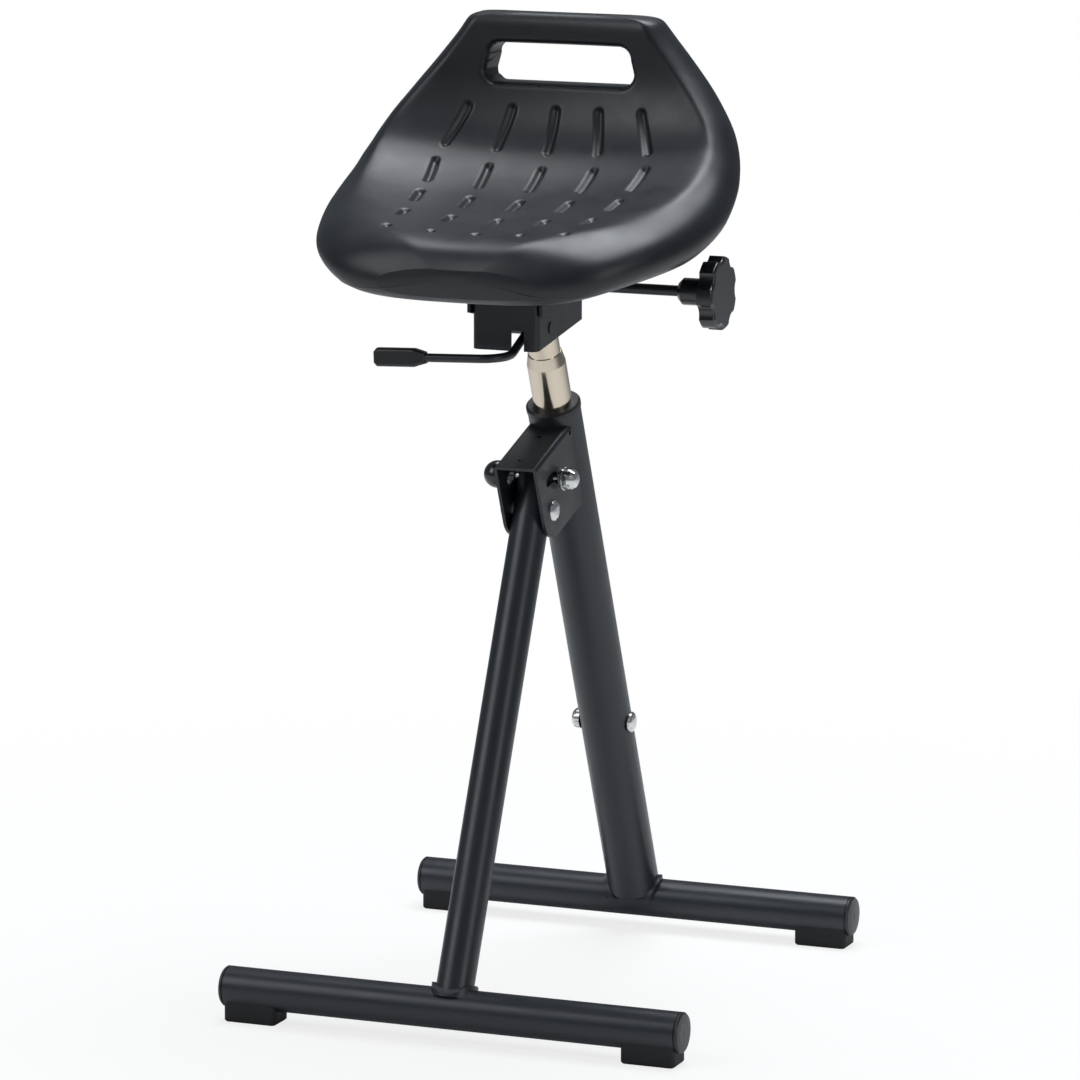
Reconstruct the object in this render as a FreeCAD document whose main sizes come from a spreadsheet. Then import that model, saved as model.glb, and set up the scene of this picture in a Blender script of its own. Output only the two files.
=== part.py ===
import FreeCAD
import Part
import Sketcher
import math
import os

# Folding perch stool: a rear frame (floor bar, raked mast, hinge channel), a front leg
# that folds back against the mast, a gas-sprung column and a tilting moulded seat.
# Millimetres and degrees. X runs along the floor bars, +Y points to the back,
# Z is up, and the origin lies on the floor midway between the two bars.

SIZES = (
    ("bar_od", 38.0, "floor bar, outside diameter"),
    ("bar_wall", 2.0, "floor bar, wall"),
    ("bar_length", 444.0, "floor bar, cut length"),
    ("bar_height", 30.0, "floor bar axis above the floor"),
    ("bar_spacing", 471.0, "front bar axis to rear bar axis"),
    ("cap_dome", 5.0, "end cap, height of the dome outside the tube"),
    ("cap_plug", 14.0, "end cap, length of the plug inside the tube"),
    ("pad_length", 52.0, "foot pad along the bar"),
    ("pad_width", 32.0, "foot pad across the bar"),
    ("pad_rise", 20.0, "foot pad, height of its shoulders"),
    ("pad_inset", 0.0, "foot pad, outer end inside the tube end"),
    ("weld_bead", 4.0, "weld bead, leg of the bead"),
    ("mast_tilt", 23.12, "mast, lean towards the front"),
    ("mast_od", 50.0, "mast, outside diameter"),
    ("mast_wall", 2.0, "mast, wall"),
    ("mast_length", 564.0, "mast, rear bar axis to its open end"),
    ("mast_foot", 14.0, "mast, start above the bar axis"),
    ("leg_od", 35.0, "front leg, outside diameter"),
    ("leg_wall", 2.0, "front leg, wall"),
    ("leg_overrun", 42.0, "front leg, length beyond the pivot"),
    ("pivot_out", 84.0, "pivot, in front of the mast axis"),
    ("pivot_below", 59.1, "pivot, below the front edge of the hinge channel's web, along the mast"),
    ("pivot_dia", 10.0, "pivot bolt, shank diameter"),
    ("bolt_head", 20.0, "cup heads and dome nuts, diameter"),
    ("head_height", 4.6, "cup heads, height"),
    ("sleeve_od", 15.0, "pivot sleeve, outside diameter"),
    ("bracket_inner", 36.0, "hinge channel, inside width"),
    ("bracket_plate", 3.0, "hinge channel, plate"),
    ("bracket_below", 0.5, "hinge channel, front edge of the web below the open end of the mast"),
    ("bracket_fall", 9.0, "hinge channel, fall of the web from the front edge to the mast"),
    ("bracket_depth", 93.6, "hinge channel, height of the cheeks at the mast"),
    ("bracket_reach", 107.0, "hinge channel, reach in front of the mast axis"),
    ("bracket_rise", 9.8, "hinge channel, rise of the lower edge to the front"),
    ("bracket_corner", 26.0, "hinge channel, radius of the lower front corner"),
    ("bracket_bend", 4.0, "hinge channel, outer bend radius"),
    ("slot_radius", 31.0, "lock slot, radius about the pivot"),
    ("slot_width", 10.0, "lock slot, width"),
    ("pin_dia", 8.0, "lock pin, shank diameter"),
    ("pin_pull", 4.0, "lock pin, pull to the left"),
    ("pin_collar", 14.0, "lock pin, collar diameter inside the leg"),
    ("ball_dia", 26.0, "lock knob, ball diameter"),
    ("ball_boss", 7.0, "lock knob, boss length"),
    ("lock_nut_length", 13.5, "lock nut, length over the dome"),
    ("bush_length", 80.0, "guide bush, length inside the mast"),
    ("bush_flange", 6.0, "guide bush, flange height"),
    ("cross_up", 209.5, "cross bolt, along the mast from the bar axis"),
    ("cross_dia", 8.0, "cross bolt, shank diameter"),
    ("column_od", 36.5, "chrome column, outside diameter"),
    ("column_wall", 1.5, "chrome column, wall"),
    ("column_low", 350.0, "chrome column, lower end along the mast"),
    ("column_top", 624.0, "chrome column, upper end along the mast"),
    ("column_cone", 11.0, "chrome column, height of the cone at its top"),
    ("cylinder_od", 30.0, "gas cylinder, outside diameter"),
    ("cylinder_wall", 2.5, "gas cylinder, wall"),
    ("cylinder_low", 300.0, "gas cylinder, lower end along the mast"),
    ("cylinder_top", 672.0, "gas cylinder, upper end along the mast"),
    ("cylinder_end", 12.0, "gas cylinder, thickness of the rod guide"),
    ("rod_dia", 10.0, "piston rod, diameter"),
    ("rod_eye", 20.0, "piston rod, eye diameter"),
    ("piston_up", 470.0, "piston, lower face along the mast"),
    ("piston_length", 14.0, "piston, length"),
    ("button_dia", 8.0, "release button, head diameter"),
    ("button_rise", 8.0, "release button, top above the cylinder"),
    ("socket_wall", 4.0, "cylinder socket, wall"),
    ("socket_low", 656.0, "cylinder socket, lower end along the mast"),
    ("socket_length", 17.0, "cylinder socket, length"),
    ("housing_width", 65.0, "seat housing, outside width"),
    ("housing_plate", 2.5, "seat housing, plate"),
    ("housing_front", 108.0, "seat housing, front face ahead of the origin"),
    ("housing_rear", 2.4, "seat housing, rear face behind the origin"),
    ("housing_low_front", 618.8, "seat housing, lower edge at the front"),
    ("housing_low_rear", 635.0, "seat housing, lower edge at the rear"),
    ("housing_top", 688.0, "seat housing, top face"),
    ("lever_pivot_out", 47.3, "lever pivot, in front of the mast axis"),
    ("lever_pivot_up", 680.3, "lever pivot, along the mast"),
    ("lever_pin_dia", 8.0, "lever pin, diameter"),
    ("lever_sleeve_od", 14.0, "lever sleeve, outside diameter"),
    ("lever_rod_dia", 8.0, "lever rod, diameter"),
    ("lever_x", 12.4, "lever rod, to the right of the middle"),
    ("lever_bend", 150.0, "lever rod, bend ahead of the origin"),
    ("lever_low", 617.5, "lever rod, height of its outer run"),
    ("grip_length", 51.0, "lever grip, length"),
    ("grip_height", 17.0, "lever grip, height"),
    ("grip_end", 111.0, "lever grip, end to the left of the middle"),
    ("tilt_y", 28.0, "tilt rod, ahead of the origin"),
    ("tilt_z", 671.0, "tilt rod, height"),
    ("tilt_dia", 10.0, "tilt rod, diameter"),
    ("knob_hub", 25.0, "star knob, hub diameter"),
    ("knob_start", 141.0, "star knob, start of the hub"),
    ("knob_face", 184.0, "star knob, outer face"),
    ("knob_thick", 15.0, "star knob, thickness of the star"),
    ("knob_dia", 68.0, "star knob, diameter over the lobes"),
    ("ear_gap", 1.5, "seat bracket, gap beside the housing"),
    ("ear_plate", 3.0, "seat bracket, plate"),
    ("ear_low", 652.0, "seat bracket, lower edge of the ears"),
    ("bracket_lift", 701.0, "seat bracket, underside of its web"),
    ("plate_thick", 3.0, "seat plate, thickness"),
    ("plate_half", 88.0, "seat plate, half width"),
    ("plate_front", 150.0, "seat plate, front edge ahead of the origin"),
    ("plate_rear", 34.0, "seat plate, rear edge ahead of the origin"),
    ("screw_x", 68.0, "seat screws, to each side of the middle"),
    ("seat_half", 168.5, "seat, half width at the crest"),
    ("seat_depth", 46.0, "seat, thickness of the pan"),
    ("seat_dish", 6.3, "seat, rise of the surface 100 mm from the middle"),
    ("crest_round", 9.0, "seat, length of the softened edge beside the crest"),
    ("seat_bulge", 6.0, "seat, bulge of the flanks over a height of 50"),
    ("seat_flank", 17.0, "seat, outward flare of the sides"),
    ("grip_hole_half", 70.0, "carry hole, half length"),
    ("grip_hole_low", 847.0, "carry hole, lower edge"),
    ("grip_hole_high", 887.0, "carry hole, upper edge"),
    ("groove_width", 8.0, "seat grooves, width"),
    ("groove_depth", 3.6, "seat grooves, depth"),
    ("seam", 0.02, "radial gap between pieces joined for good"),
    ("running", 0.05, "radial gap of a shaft that turns or slides"),
    ("side_gap", 0.3, "gap beside faces that slide past each other"),
)

doc = FreeCAD.newDocument("PerchStool")
sheet = doc.addObject("Spreadsheet::Sheet", "Sizes")
for line, (alias, amount, note) in enumerate(SIZES, 1):
    sheet.set("A%d" % line, note)
    sheet.set("B%d" % line, str(amount))
    sheet.setAlias("B%d" % line, alias)
doc.recompute()


class Dim:
    """A length or an angle that keeps both its value and the cells it comes from."""

    def __init__(self, value, text):
        self.value = float(value)
        self.text = text

    def __add__(self, other):
        other = dim(other)
        return Dim(self.value + other.value, "(%s + %s)" % (self.text, other.text))

    def __radd__(self, other):
        return dim(other) + self

    def __sub__(self, other):
        other = dim(other)
        return Dim(self.value - other.value, "(%s - %s)" % (self.text, other.text))

    def __rsub__(self, other):
        return dim(other) - self

    def __mul__(self, other):
        other = dim(other)
        return Dim(self.value * other.value, "(%s * %s)" % (self.text, other.text))

    def __rmul__(self, other):
        return dim(other) * self

    def __truediv__(self, other):
        other = dim(other)
        return Dim(self.value / other.value, "(%s / %s)" % (self.text, other.text))

    def __neg__(self):
        return dim(0) - self


def dim(number):
    if isinstance(number, Dim):
        return number
    return Dim(number, "(%r)" % float(number))


def cell(alias):
    return Dim(float(getattr(sheet, alias)), "Sizes." + alias)


def sine(angle):
    return Dim(math.sin(math.radians(angle.value)), "sin(%s * 1 deg)" % angle.text)


def cosine(angle):
    return Dim(math.cos(math.radians(angle.value)), "cos(%s * 1 deg)" % angle.text)


def root(number):
    return Dim(math.sqrt(number.value), "sqrt(%s)" % number.text)


Z = {alias: cell(alias) for alias, amount, note in SIZES}
VEC = FreeCAD.Vector
ROT = FreeCAD.Rotation
kept = []


# Points fixed to the mast: "out" is measured square to the mast towards the front,
# "up" along the mast from the rear bar axis.
SIN_MAST = sine(Z["mast_tilt"])
COS_MAST = cosine(Z["mast_tilt"])
REAR_Y = Z["bar_spacing"] / 2
FRONT_Y = -REAR_Y
BRACKET_TOP = Z["mast_length"] - Z["bracket_below"]
PIVOT_UP = BRACKET_TOP - Z["pivot_below"]
PIVOT_Y = REAR_Y - Z["pivot_out"] * COS_MAST - PIVOT_UP * SIN_MAST
PIVOT_Z = Z["bar_height"] - Z["pivot_out"] * SIN_MAST + PIVOT_UP * COS_MAST
LEG_Y = PIVOT_Y - FRONT_Y
LEG_Z = PIVOT_Z - Z["bar_height"]
LEG_LENGTH = root(LEG_Y * LEG_Y + LEG_Z * LEG_Z)
LEG_TILT = Dim(
    math.degrees(math.atan2(LEG_Y.value, LEG_Z.value)),
    "(atan2(%s; %s) / 1 deg)" % (LEG_Y.text, LEG_Z.text),
)
FOLD = Z["mast_tilt"] + LEG_TILT
LEVER_Y = REAR_Y - Z["lever_pivot_out"] * COS_MAST - Z["lever_pivot_up"] * SIN_MAST
LEVER_Z = Z["bar_height"] - Z["lever_pivot_out"] * SIN_MAST + Z["lever_pivot_up"] * COS_MAST
PIN_Y = PIVOT_Y + Z["slot_radius"] * sine(LEG_TILT)
PIN_Z = PIVOT_Z + Z["slot_radius"] * cosine(LEG_TILT)
BRACKET_WIDTH = Z["bracket_inner"] + 2 * Z["bracket_plate"]
CHEEK = BRACKET_WIDTH / 2
BORE = Z["bar_od"] - 2 * Z["bar_wall"]


def place(thing, base, axis=VEC(1, 0, 0), angle=0):
    """Puts a piece in the common frame and ties the place to the sheet."""
    base = [dim(c) for c in base]
    angle = dim(angle)
    spot = VEC(base[0].value, base[1].value, base[2].value)
    thing.Placement = FreeCAD.Placement(spot, ROT(axis, angle.value))
    for name, c in zip("xyz", base):
        thing.setExpression("Placement.Base." + name, c.text)
    if abs(angle.value) > 1e-9:
        thing.setExpression("Placement.Rotation.Angle", angle.text)


def on_mast(thing):
    place(thing, (0, REAR_Y, Z["bar_height"]), VEC(1, 0, 0), Z["mast_tilt"])


def on_leg(thing):
    place(thing, (0, FRONT_Y, Z["bar_height"]), VEC(-1, 0, 0), LEG_TILT)


def across(thing, y, z, x=0):
    """Turns a piece made along its own Z so that it lies along X."""
    place(thing, (x, y, z), VEC(0, 1, 0), 90)


def new_body(label):
    body = doc.addObject("PartDesign::Body", label)
    body.Label = label
    return body


def plane_of(body, role):
    return [f for f in body.Origin.OriginFeatures if f.Role == role][0]


def new_sketch(body, name, role, lift=None):
    sketch = body.newObject("Sketcher::SketchObject", body.Name + "_" + name)
    sketch.AttachmentSupport = [(plane_of(body, role), "")]
    sketch.MapMode = "FlatFace"
    if lift is not None:
        lift = dim(lift)
        sketch.AttachmentOffset = FreeCAD.Placement(VEC(0, 0, lift.value), ROT())
        sketch.setExpression("AttachmentOffset.Base.z", lift.text)
    return sketch


def tie(sketch, constraint, expression):
    index = sketch.addConstraint(constraint)
    name = "d%d" % index
    sketch.renameConstraint(index, name)
    sketch.setExpression("Constraints." + name, expression.text)


def pin_point(sketch, geometry, position, x, y):
    """Fixes a point of a sketch at x, y."""
    x = dim(x)
    y = dim(y)
    if abs(x.value) < 1e-9 and abs(y.value) < 1e-9:
        sketch.addConstraint(Sketcher.Constraint("Coincident", geometry, position, -1, 1))
        return
    if abs(x.value) < 1e-9:
        sketch.addConstraint(Sketcher.Constraint("PointOnObject", geometry, position, -2))
    else:
        tie(sketch, Sketcher.Constraint("DistanceX", -1, 1, geometry, position, x.value), x)
    if abs(y.value) < 1e-9:
        sketch.addConstraint(Sketcher.Constraint("PointOnObject", geometry, position, -1))
    else:
        tie(sketch, Sketcher.Constraint("DistanceY", -1, 1, geometry, position, y.value), y)


def circle(sketch, diameter, x=0, y=0):
    x = dim(x)
    y = dim(y)
    diameter = dim(diameter)
    shape = Part.Circle(VEC(x.value, y.value, 0), VEC(0, 0, 1), diameter.value / 2)
    index = sketch.addGeometry(shape, False)
    tie(sketch, Sketcher.Constraint("Diameter", index, diameter.value), diameter)
    pin_point(sketch, index, 3, x, y)


def outline(sketch, points):
    """Closed outline of straight lines through points."""
    points = [(dim(x), dim(y)) for x, y in points]
    first = sketch.GeometryCount
    count = len(points)
    for i in range(count):
        a = points[i]
        b = points[(i + 1) % count]
        line = Part.LineSegment(VEC(a[0].value, a[1].value, 0), VEC(b[0].value, b[1].value, 0))
        sketch.addGeometry(line, False)
    for i in range(count):
        nxt = first + (i + 1) % count
        sketch.addConstraint(Sketcher.Constraint("Coincident", first + i, 2, nxt, 1))
    for i in range(count):
        pin_point(sketch, first + i, 1, points[i][0], points[i][1])


def block(sketch, x0, x1, y0, y1):
    outline(sketch, ((x0, y0), (x1, y0), (x1, y1), (x0, y1)))


def pad(body, sketch, length, both=False, back=False):
    feature = body.newObject("PartDesign::Pad", sketch.Name + "_pad")
    feature.Profile = sketch
    length = dim(length)
    feature.Length = length.value
    feature.setExpression("Length", length.text)
    if both:
        feature.SideType = "Symmetric"
    feature.Reversed = back
    sketch.Visibility = False
    body.Tip = feature
    return feature


def pocket(body, sketch, length, both=True, back=False):
    feature = body.newObject("PartDesign::Pocket", sketch.Name + "_cut")
    feature.Profile = sketch
    length = dim(length)
    feature.Length = length.value
    feature.setExpression("Length", length.text)
    if both:
        feature.SideType = "Symmetric"
    feature.Reversed = back
    body.Tip = feature
    cuts.append((feature, body))
    return feature


cuts = []


def turn(body, points, name="section"):
    """Solid of revolution about the body's Z axis from (radius, height) points."""
    sketch = new_sketch(body, name, "XZ_Plane")
    outline(sketch, points)
    feature = body.newObject("PartDesign::Revolution", sketch.Name + "_turn")
    feature.Profile = sketch
    feature.ReferenceAxis = (sketch, ["V_Axis"])
    feature.Angle = 360
    body.Tip = feature
    return feature


def turned(label, points):
    body = new_body(label)
    turn(body, points)
    return body


def edges_where(feature, test):
    doc.recompute()
    found = []
    for index, edge in enumerate(feature.Shape.Edges, 1):
        middle = edge.valueAt((edge.FirstParameter + edge.LastParameter) / 2)
        if test(edge, middle):
            found.append("Edge%d" % index)
    if not found:
        raise ValueError("no edges to soften on " + feature.Name)
    return found


def soften(body, feature, size, test, kind="Fillet"):
    """Rounds or bevels the chosen edges."""
    size = dim(size)
    soft = body.newObject("PartDesign::" + kind, feature.Name + "_" + kind.lower())
    soft.Base = (feature, edges_where(feature, test))
    field = "Radius" if kind == "Fillet" else "Size"
    setattr(soft, field, size.value)
    soft.setExpression(field, size.text)
    body.Tip = soft
    return soft


def keep(thing):
    kept.append(thing)
    return thing


def boolean(kind, name, base, tool):
    feature = doc.addObject("Part::" + kind, name)
    feature.Base = base
    feature.Tool = tool
    return feature


def rod_solid(name, radius, height, base=(0, 0, 0), axis=VEC(0, 0, 1), angle=0):
    radius = dim(radius)
    height = dim(height)
    solid = doc.addObject("Part::Cylinder", name)
    solid.Radius = radius.value
    solid.Height = height.value
    solid.setExpression("Radius", radius.text)
    solid.setExpression("Height", height.text)
    place(solid, base, axis, angle)
    return solid


def mirrored_pair(label, piece):
    """The piece and its mirror image across the middle plane, as one group."""
    other = doc.addObject("Part::Mirroring", piece.Name + "_other")
    other.Source = piece
    other.Normal = VEC(1, 0, 0)
    other.Base = VEC(0, 0, 0)
    group = doc.addObject("Part::Compound", label)
    group.Label = label
    group.Links = [piece, other]
    return group


# ---- floor bars, caps and pads -----------------------------------------------------------
def floor_bar(label, y):
    body = new_body(label)
    sketch = new_sketch(body, "ring", "YZ_Plane")
    circle(sketch, Z["bar_od"])
    circle(sketch, BORE)
    pad(body, sketch, Z["bar_length"], both=True)
    place(body, (0, y, Z["bar_height"]))
    return keep(body)


def end_caps(label, y):
    lip = Z["bar_od"] / 2
    plug = BORE / 2 - Z["seam"]
    dome = Z["cap_dome"]
    body = turned(
        label + "_right",
        (
            (0, -Z["cap_plug"]),
            (plug - 1.0, -Z["cap_plug"]),
            (plug, 2.0 - Z["cap_plug"]),
            (plug, 0),
            (lip - 1.3, 0),
            (lip - 1.3, dome * 0.2),
            (lip, dome * 0.2),
            (lip, dome * 0.46),
            (lip - 1.4, dome * 0.8),
            (lip * 0.62, dome * 0.95),
            (0, dome),
        ),
    )
    across(body, y, Z["bar_height"], Z["bar_length"] / 2)
    return keep(mirrored_pair(label, body))


def foot_pads(label, y):
    body = new_body(label + "_right")
    outer = Z["bar_length"] / 2 - Z["pad_inset"]
    half = Z["pad_width"] / 2
    sketch = new_sketch(body, "sole", "XY_Plane")
    block(sketch, outer - Z["pad_length"], outer, -half, half)
    solid = pad(body, sketch, Z["pad_rise"])
    upright = soften(body, solid, 5.0, lambda e, m: abs(e.BoundBox.ZLength - Z["pad_rise"].value) < 0.01)
    sole = soften(
        body, upright, 1.5, lambda e, m: e.BoundBox.ZMax < 0.01, "Chamfer"
    )
    saddle = new_sketch(body, "saddle", "YZ_Plane")
    circle(saddle, Z["bar_od"] + 2 * Z["seam"], 0, Z["bar_height"])
    pocket(body, saddle, Z["bar_length"] * 2)
    place(body, (0, y, 0))
    return keep(mirrored_pair(label, body))


floor_bar("rear_floor_bar", REAR_Y)
floor_bar("front_floor_bar", FRONT_Y)
end_caps("rear_end_caps", REAR_Y)
end_caps("front_end_caps", FRONT_Y)
foot_pads("rear_foot_pads", REAR_Y)
foot_pads("front_foot_pads", FRONT_Y)


def weld(label, tube_od, mount):
    """Bead in the corner between a raked tube and the bar that carries it."""
    bead = Z["weld_bead"]
    bar = Z["bar_od"] / 2
    reach = Z["bar_od"] * 2
    side = (-reach / 2, 0, 0)
    around = rod_solid(label + "_a", tube_od / 2 + bead, reach, (0, 0, 8.0))
    over = rod_solid(label + "_b", bar + bead, reach, side, VEC(0, 1, 0), 90)
    tube = rod_solid(label + "_c", tube_od / 2, reach)
    core = rod_solid(label + "_d", bar, reach, side, VEC(0, 1, 0), 90)
    both = boolean("Common", label + "_e", around, over)
    less = boolean("Cut", label + "_f", both, tube)
    bead_solid = boolean("Cut", label, less, core)
    bead_solid.Label = label
    mount(bead_solid)
    return keep(bead_solid)


weld("mast_weld", Z["mast_od"], on_mast)
weld("leg_weld", Z["leg_od"], on_leg)

# ---- mast --------------------------------------------------------------------------------
mast = new_body("mast_tube")
ring = new_sketch(mast, "ring", "XY_Plane", Z["mast_foot"])
circle(ring, Z["mast_od"])
circle(ring, Z["mast_od"] - 2 * Z["mast_wall"])
pad(mast, ring, Z["mast_length"] - Z["mast_foot"])
cope = new_sketch(mast, "cope", "YZ_Plane")
circle(cope, Z["bar_od"] + 2 * Z["seam"])
pocket(mast, cope, Z["mast_od"] * 2)
cross = new_sketch(mast, "cross_hole", "YZ_Plane")
circle(cross, Z["cross_dia"] + 2 * Z["seam"], 0, Z["cross_up"])
pocket(mast, cross, Z["mast_od"] * 2)
on_mast(mast)
keep(mast)

bush_bore = Z["column_od"] / 2 + Z["running"]
bush_out = Z["mast_od"] / 2 - Z["mast_wall"] - Z["seam"]
flange = Z["mast_od"] / 2 + 0.8
bush_top = Z["mast_length"] + Z["bush_flange"]
bush = turned(
    "guide_bush",
    (
        (bush_bore, Z["mast_length"] - Z["bush_length"]),
        (bush_out - 0.8, Z["mast_length"] - Z["bush_length"]),
        (bush_out, Z["mast_length"] - Z["bush_length"] + 4.0),
        (bush_out, Z["mast_length"]),
        (flange, Z["mast_length"]),
        (flange, bush_top - 2.0),
        (flange - 2.0, bush_top),
        (bush_bore, bush_top),
    ),
)
on_mast(bush)
keep(bush)

# ---- hinge channel on the mast ------------------------------------------------------------
hinge = new_body("hinge_bracket")
side_view = new_sketch(hinge, "side", "YZ_Plane")
low = BRACKET_TOP - Z["bracket_depth"]
outline(
    side_view,
    (
        (-10.0, BRACKET_TOP - Z["bracket_fall"]),
        (-Z["bracket_reach"], BRACKET_TOP),
        (-Z["bracket_reach"], low + Z["bracket_rise"]),
        (-10.0, low),
    ),
)
cheeks = pad(hinge, side_view, BRACKET_WIDTH, both=True)
corner = soften(
    hinge,
    cheeks,
    Z["bracket_corner"],
    lambda e, m: e.BoundBox.XLength > 10
    and abs(m.y + Z["bracket_reach"].value) < 0.1
    and m.z < low.value + 20,
)
bends = soften(
    hinge,
    corner,
    Z["bracket_bend"],
    lambda e, m: e.BoundBox.YLength > 60 and m.z > BRACKET_TOP.value - 12.0,
)
inside = new_sketch(hinge, "inside", "YZ_Plane")
web_run = Z["bracket_reach"] - 10.0
outline(
    inside,
    (
        (-10.0 + web_run, BRACKET_TOP - Z["bracket_plate"] - Z["bracket_fall"] * 2),
        (-10.0 - web_run * 2, BRACKET_TOP - Z["bracket_plate"] + Z["bracket_fall"]),
        (-10.0 - web_run * 2, low - 20.0),
        (-10.0 + web_run, low - 20.0),
    ),
)
hollow = pocket(hinge, inside, Z["bracket_inner"])
mouth = new_sketch(hinge, "mast_seat", "XY_Plane")
circle(mouth, Z["mast_od"] + 2 * Z["seam"])
pocket(hinge, mouth, BRACKET_TOP * 3)
holes = new_sketch(hinge, "pivot_hole", "YZ_Plane")
circle(holes, Z["pivot_dia"] + 2 * Z["seam"], -Z["pivot_out"], PIVOT_UP)
pocket(hinge, holes, BRACKET_WIDTH * 2)


def lock_slot(body):
    """Curved slot about the pivot for the lock pin, from unfolded to folded."""
    sketch = new_sketch(body, "slot", "YZ_Plane")
    centre = (-Z["pivot_out"], PIVOT_UP)
    r = Z["slot_radius"]
    half = Z["slot_width"] / 2
    start = 90.0 - FOLD.value
    mid = VEC(centre[0].value, centre[1].value, 0)

    def spot(angle):
        a = math.radians(angle)
        return VEC(math.cos(a), math.sin(a), 0)

    def arc(c, radius, a0, a1):
        ring = Part.Circle(c, VEC(0, 0, 1), radius)
        return Part.ArcOfCircle(ring, math.radians(a0), math.radians(a1))

    outer = sketch.addGeometry(arc(mid, r.value + half.value, start, 90.0), False)
    inner = sketch.addGeometry(arc(mid, r.value - half.value, start, 90.0), False)
    low_c = mid + spot(start) * r.value
    high_c = mid + spot(90.0) * r.value
    low_end = sketch.addGeometry(arc(low_c, half.value, start - 180.0, start), False)
    high_end = sketch.addGeometry(arc(high_c, half.value, 90.0, 270.0), False)
    for a, ap, b, bp in (
        (outer, 1, low_end, 2),
        (inner, 1, low_end, 1),
        (outer, 2, high_end, 1),
        (inner, 2, high_end, 2),
    ):
        sketch.addConstraint(Sketcher.Constraint("Tangent", a, ap, b, bp))
    pin_point(sketch, outer, 3, centre[0], centre[1])
    sketch.addConstraint(Sketcher.Constraint("Coincident", inner, 3, outer, 3))
    tie(sketch, Sketcher.Constraint("Radius", low_end, half.value), half)
    low_x = centre[0] + r * sine(FOLD)
    low_y = centre[1] + r * cosine(FOLD)
    pin_point(sketch, low_end, 3, low_x, low_y)
    sketch.addConstraint(Sketcher.Constraint("Vertical", high_end, 3, outer, 3))
    return sketch


pocket(hinge, lock_slot(hinge), BRACKET_WIDTH * 2)
web_holes = new_sketch(hinge, "web_holes", "XY_Plane")
circle(web_holes, 5.0, 0, -0.849 * Z["bracket_reach"])
circle(web_holes, 4.0, 0, -0.401 * Z["bracket_reach"])
pocket(hinge, web_holes, BRACKET_TOP * 3)
side_holes = new_sketch(hinge, "side_holes", "YZ_Plane")
circle(side_holes, 5.0, -0.39 * Z["mast_od"], BRACKET_TOP - 14.0)
pocket(hinge, side_holes, BRACKET_WIDTH * 2)
on_mast(hinge)
keep(hinge)


# ---- bolts --------------------------------------------------------------------------------
def cup_bolt(label, shank, grip, tail, y, z):
    """Cup-head bolt along X: head on the right, thread standing out on the left."""
    head = Z["bolt_head"] / 2
    rise = Z["head_height"]
    r = shank / 2
    body = turned(
        label,
        (
            (0, -grip - tail),
            (r - 0.8, -grip - tail),
            (r, 0.8 - grip - tail),
            (r, grip),
            (head, grip),
            (head, grip + rise * 0.25),
            (head * 0.93, grip + rise * 0.52),
            (head * 0.72, grip + rise * 0.82),
            (head * 0.42, grip + rise * 0.97),
            (0, grip + rise),
        ),
    )
    across(body, y, z)
    return keep(body)


def cap_nut(label, thread, start, length, y, z, right):
    """Dome nut along X, closed at its outer end."""
    r = thread / 2 + Z["seam"]
    wide = Z["bolt_head"] / 2
    body = turned(
        label,
        (
            (0, length - 3.0),
            (0, length),
            (wide * 0.45, length * 0.965),
            (wide * 0.76, length * 0.83),
            (wide * 0.95, length * 0.6),
            (wide, length * 0.36),
            (wide, 0),
            (r, 0),
            (r, length - 3.0),
        ),
    )
    if right:
        place(body, (start, y, z), VEC(0, 1, 0), 90)
    else:
        place(body, (start, y, z), VEC(0, 1, 0), -90)
    return keep(body)


CROSS_Y = REAR_Y - Z["cross_up"] * SIN_MAST
CROSS_Z = Z["bar_height"] + Z["cross_up"] * COS_MAST
cup_bolt("cross_bolt", Z["cross_dia"], Z["mast_od"] / 2, 6.0, CROSS_Y, CROSS_Z)
cap_nut("cross_nut", Z["cross_dia"], -Z["mast_od"] / 2, dim(9.5), CROSS_Y, CROSS_Z, False)
cup_bolt("pivot_bolt", Z["pivot_dia"], CHEEK, 6.0, PIVOT_Y, PIVOT_Z)
cap_nut("pivot_nut", Z["pivot_dia"], -CHEEK, dim(9.5), PIVOT_Y, PIVOT_Z, False)

# ---- gas spring ---------------------------------------------------------------------------
rod_r = Z["rod_dia"] / 2
neck_r = rod_r * 0.7
piston_rod = new_body("piston_rod")
turn(
    piston_rod,
    (
        (0, Z["cross_up"]),
        (rod_r, Z["cross_up"]),
        (rod_r, Z["piston_up"]),
        (neck_r, Z["piston_up"]),
        (neck_r, Z["piston_up"] + Z["piston_length"]),
        (0, Z["piston_up"] + Z["piston_length"]),
    ),
)
eye = new_sketch(piston_rod, "eye", "YZ_Plane")
circle(eye, Z["rod_eye"], 0, Z["cross_up"])
pad(piston_rod, eye, 16.0, both=True)
eye_hole = new_sketch(piston_rod, "eye_hole", "YZ_Plane")
circle(eye_hole, Z["cross_dia"] + 2 * Z["seam"], 0, Z["cross_up"])
pocket(piston_rod, eye_hole, 40.0)
on_mast(piston_rod)
keep(piston_rod)

cyl_r = Z["cylinder_od"] / 2
cyl_bore = cyl_r - Z["cylinder_wall"]
piston = turned(
    "piston",
    (
        (neck_r + Z["seam"], Z["piston_up"]),
        (cyl_bore - Z["running"] - 0.8, Z["piston_up"]),
        (cyl_bore - Z["running"], Z["piston_up"] + 1.2),
        (cyl_bore - Z["running"], Z["piston_up"] + Z["piston_length"] - 1.2),
        (cyl_bore - Z["running"] - 0.8, Z["piston_up"] + Z["piston_length"]),
        (neck_r + Z["seam"], Z["piston_up"] + Z["piston_length"]),
    ),
)
on_mast(piston)
keep(piston)

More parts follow.
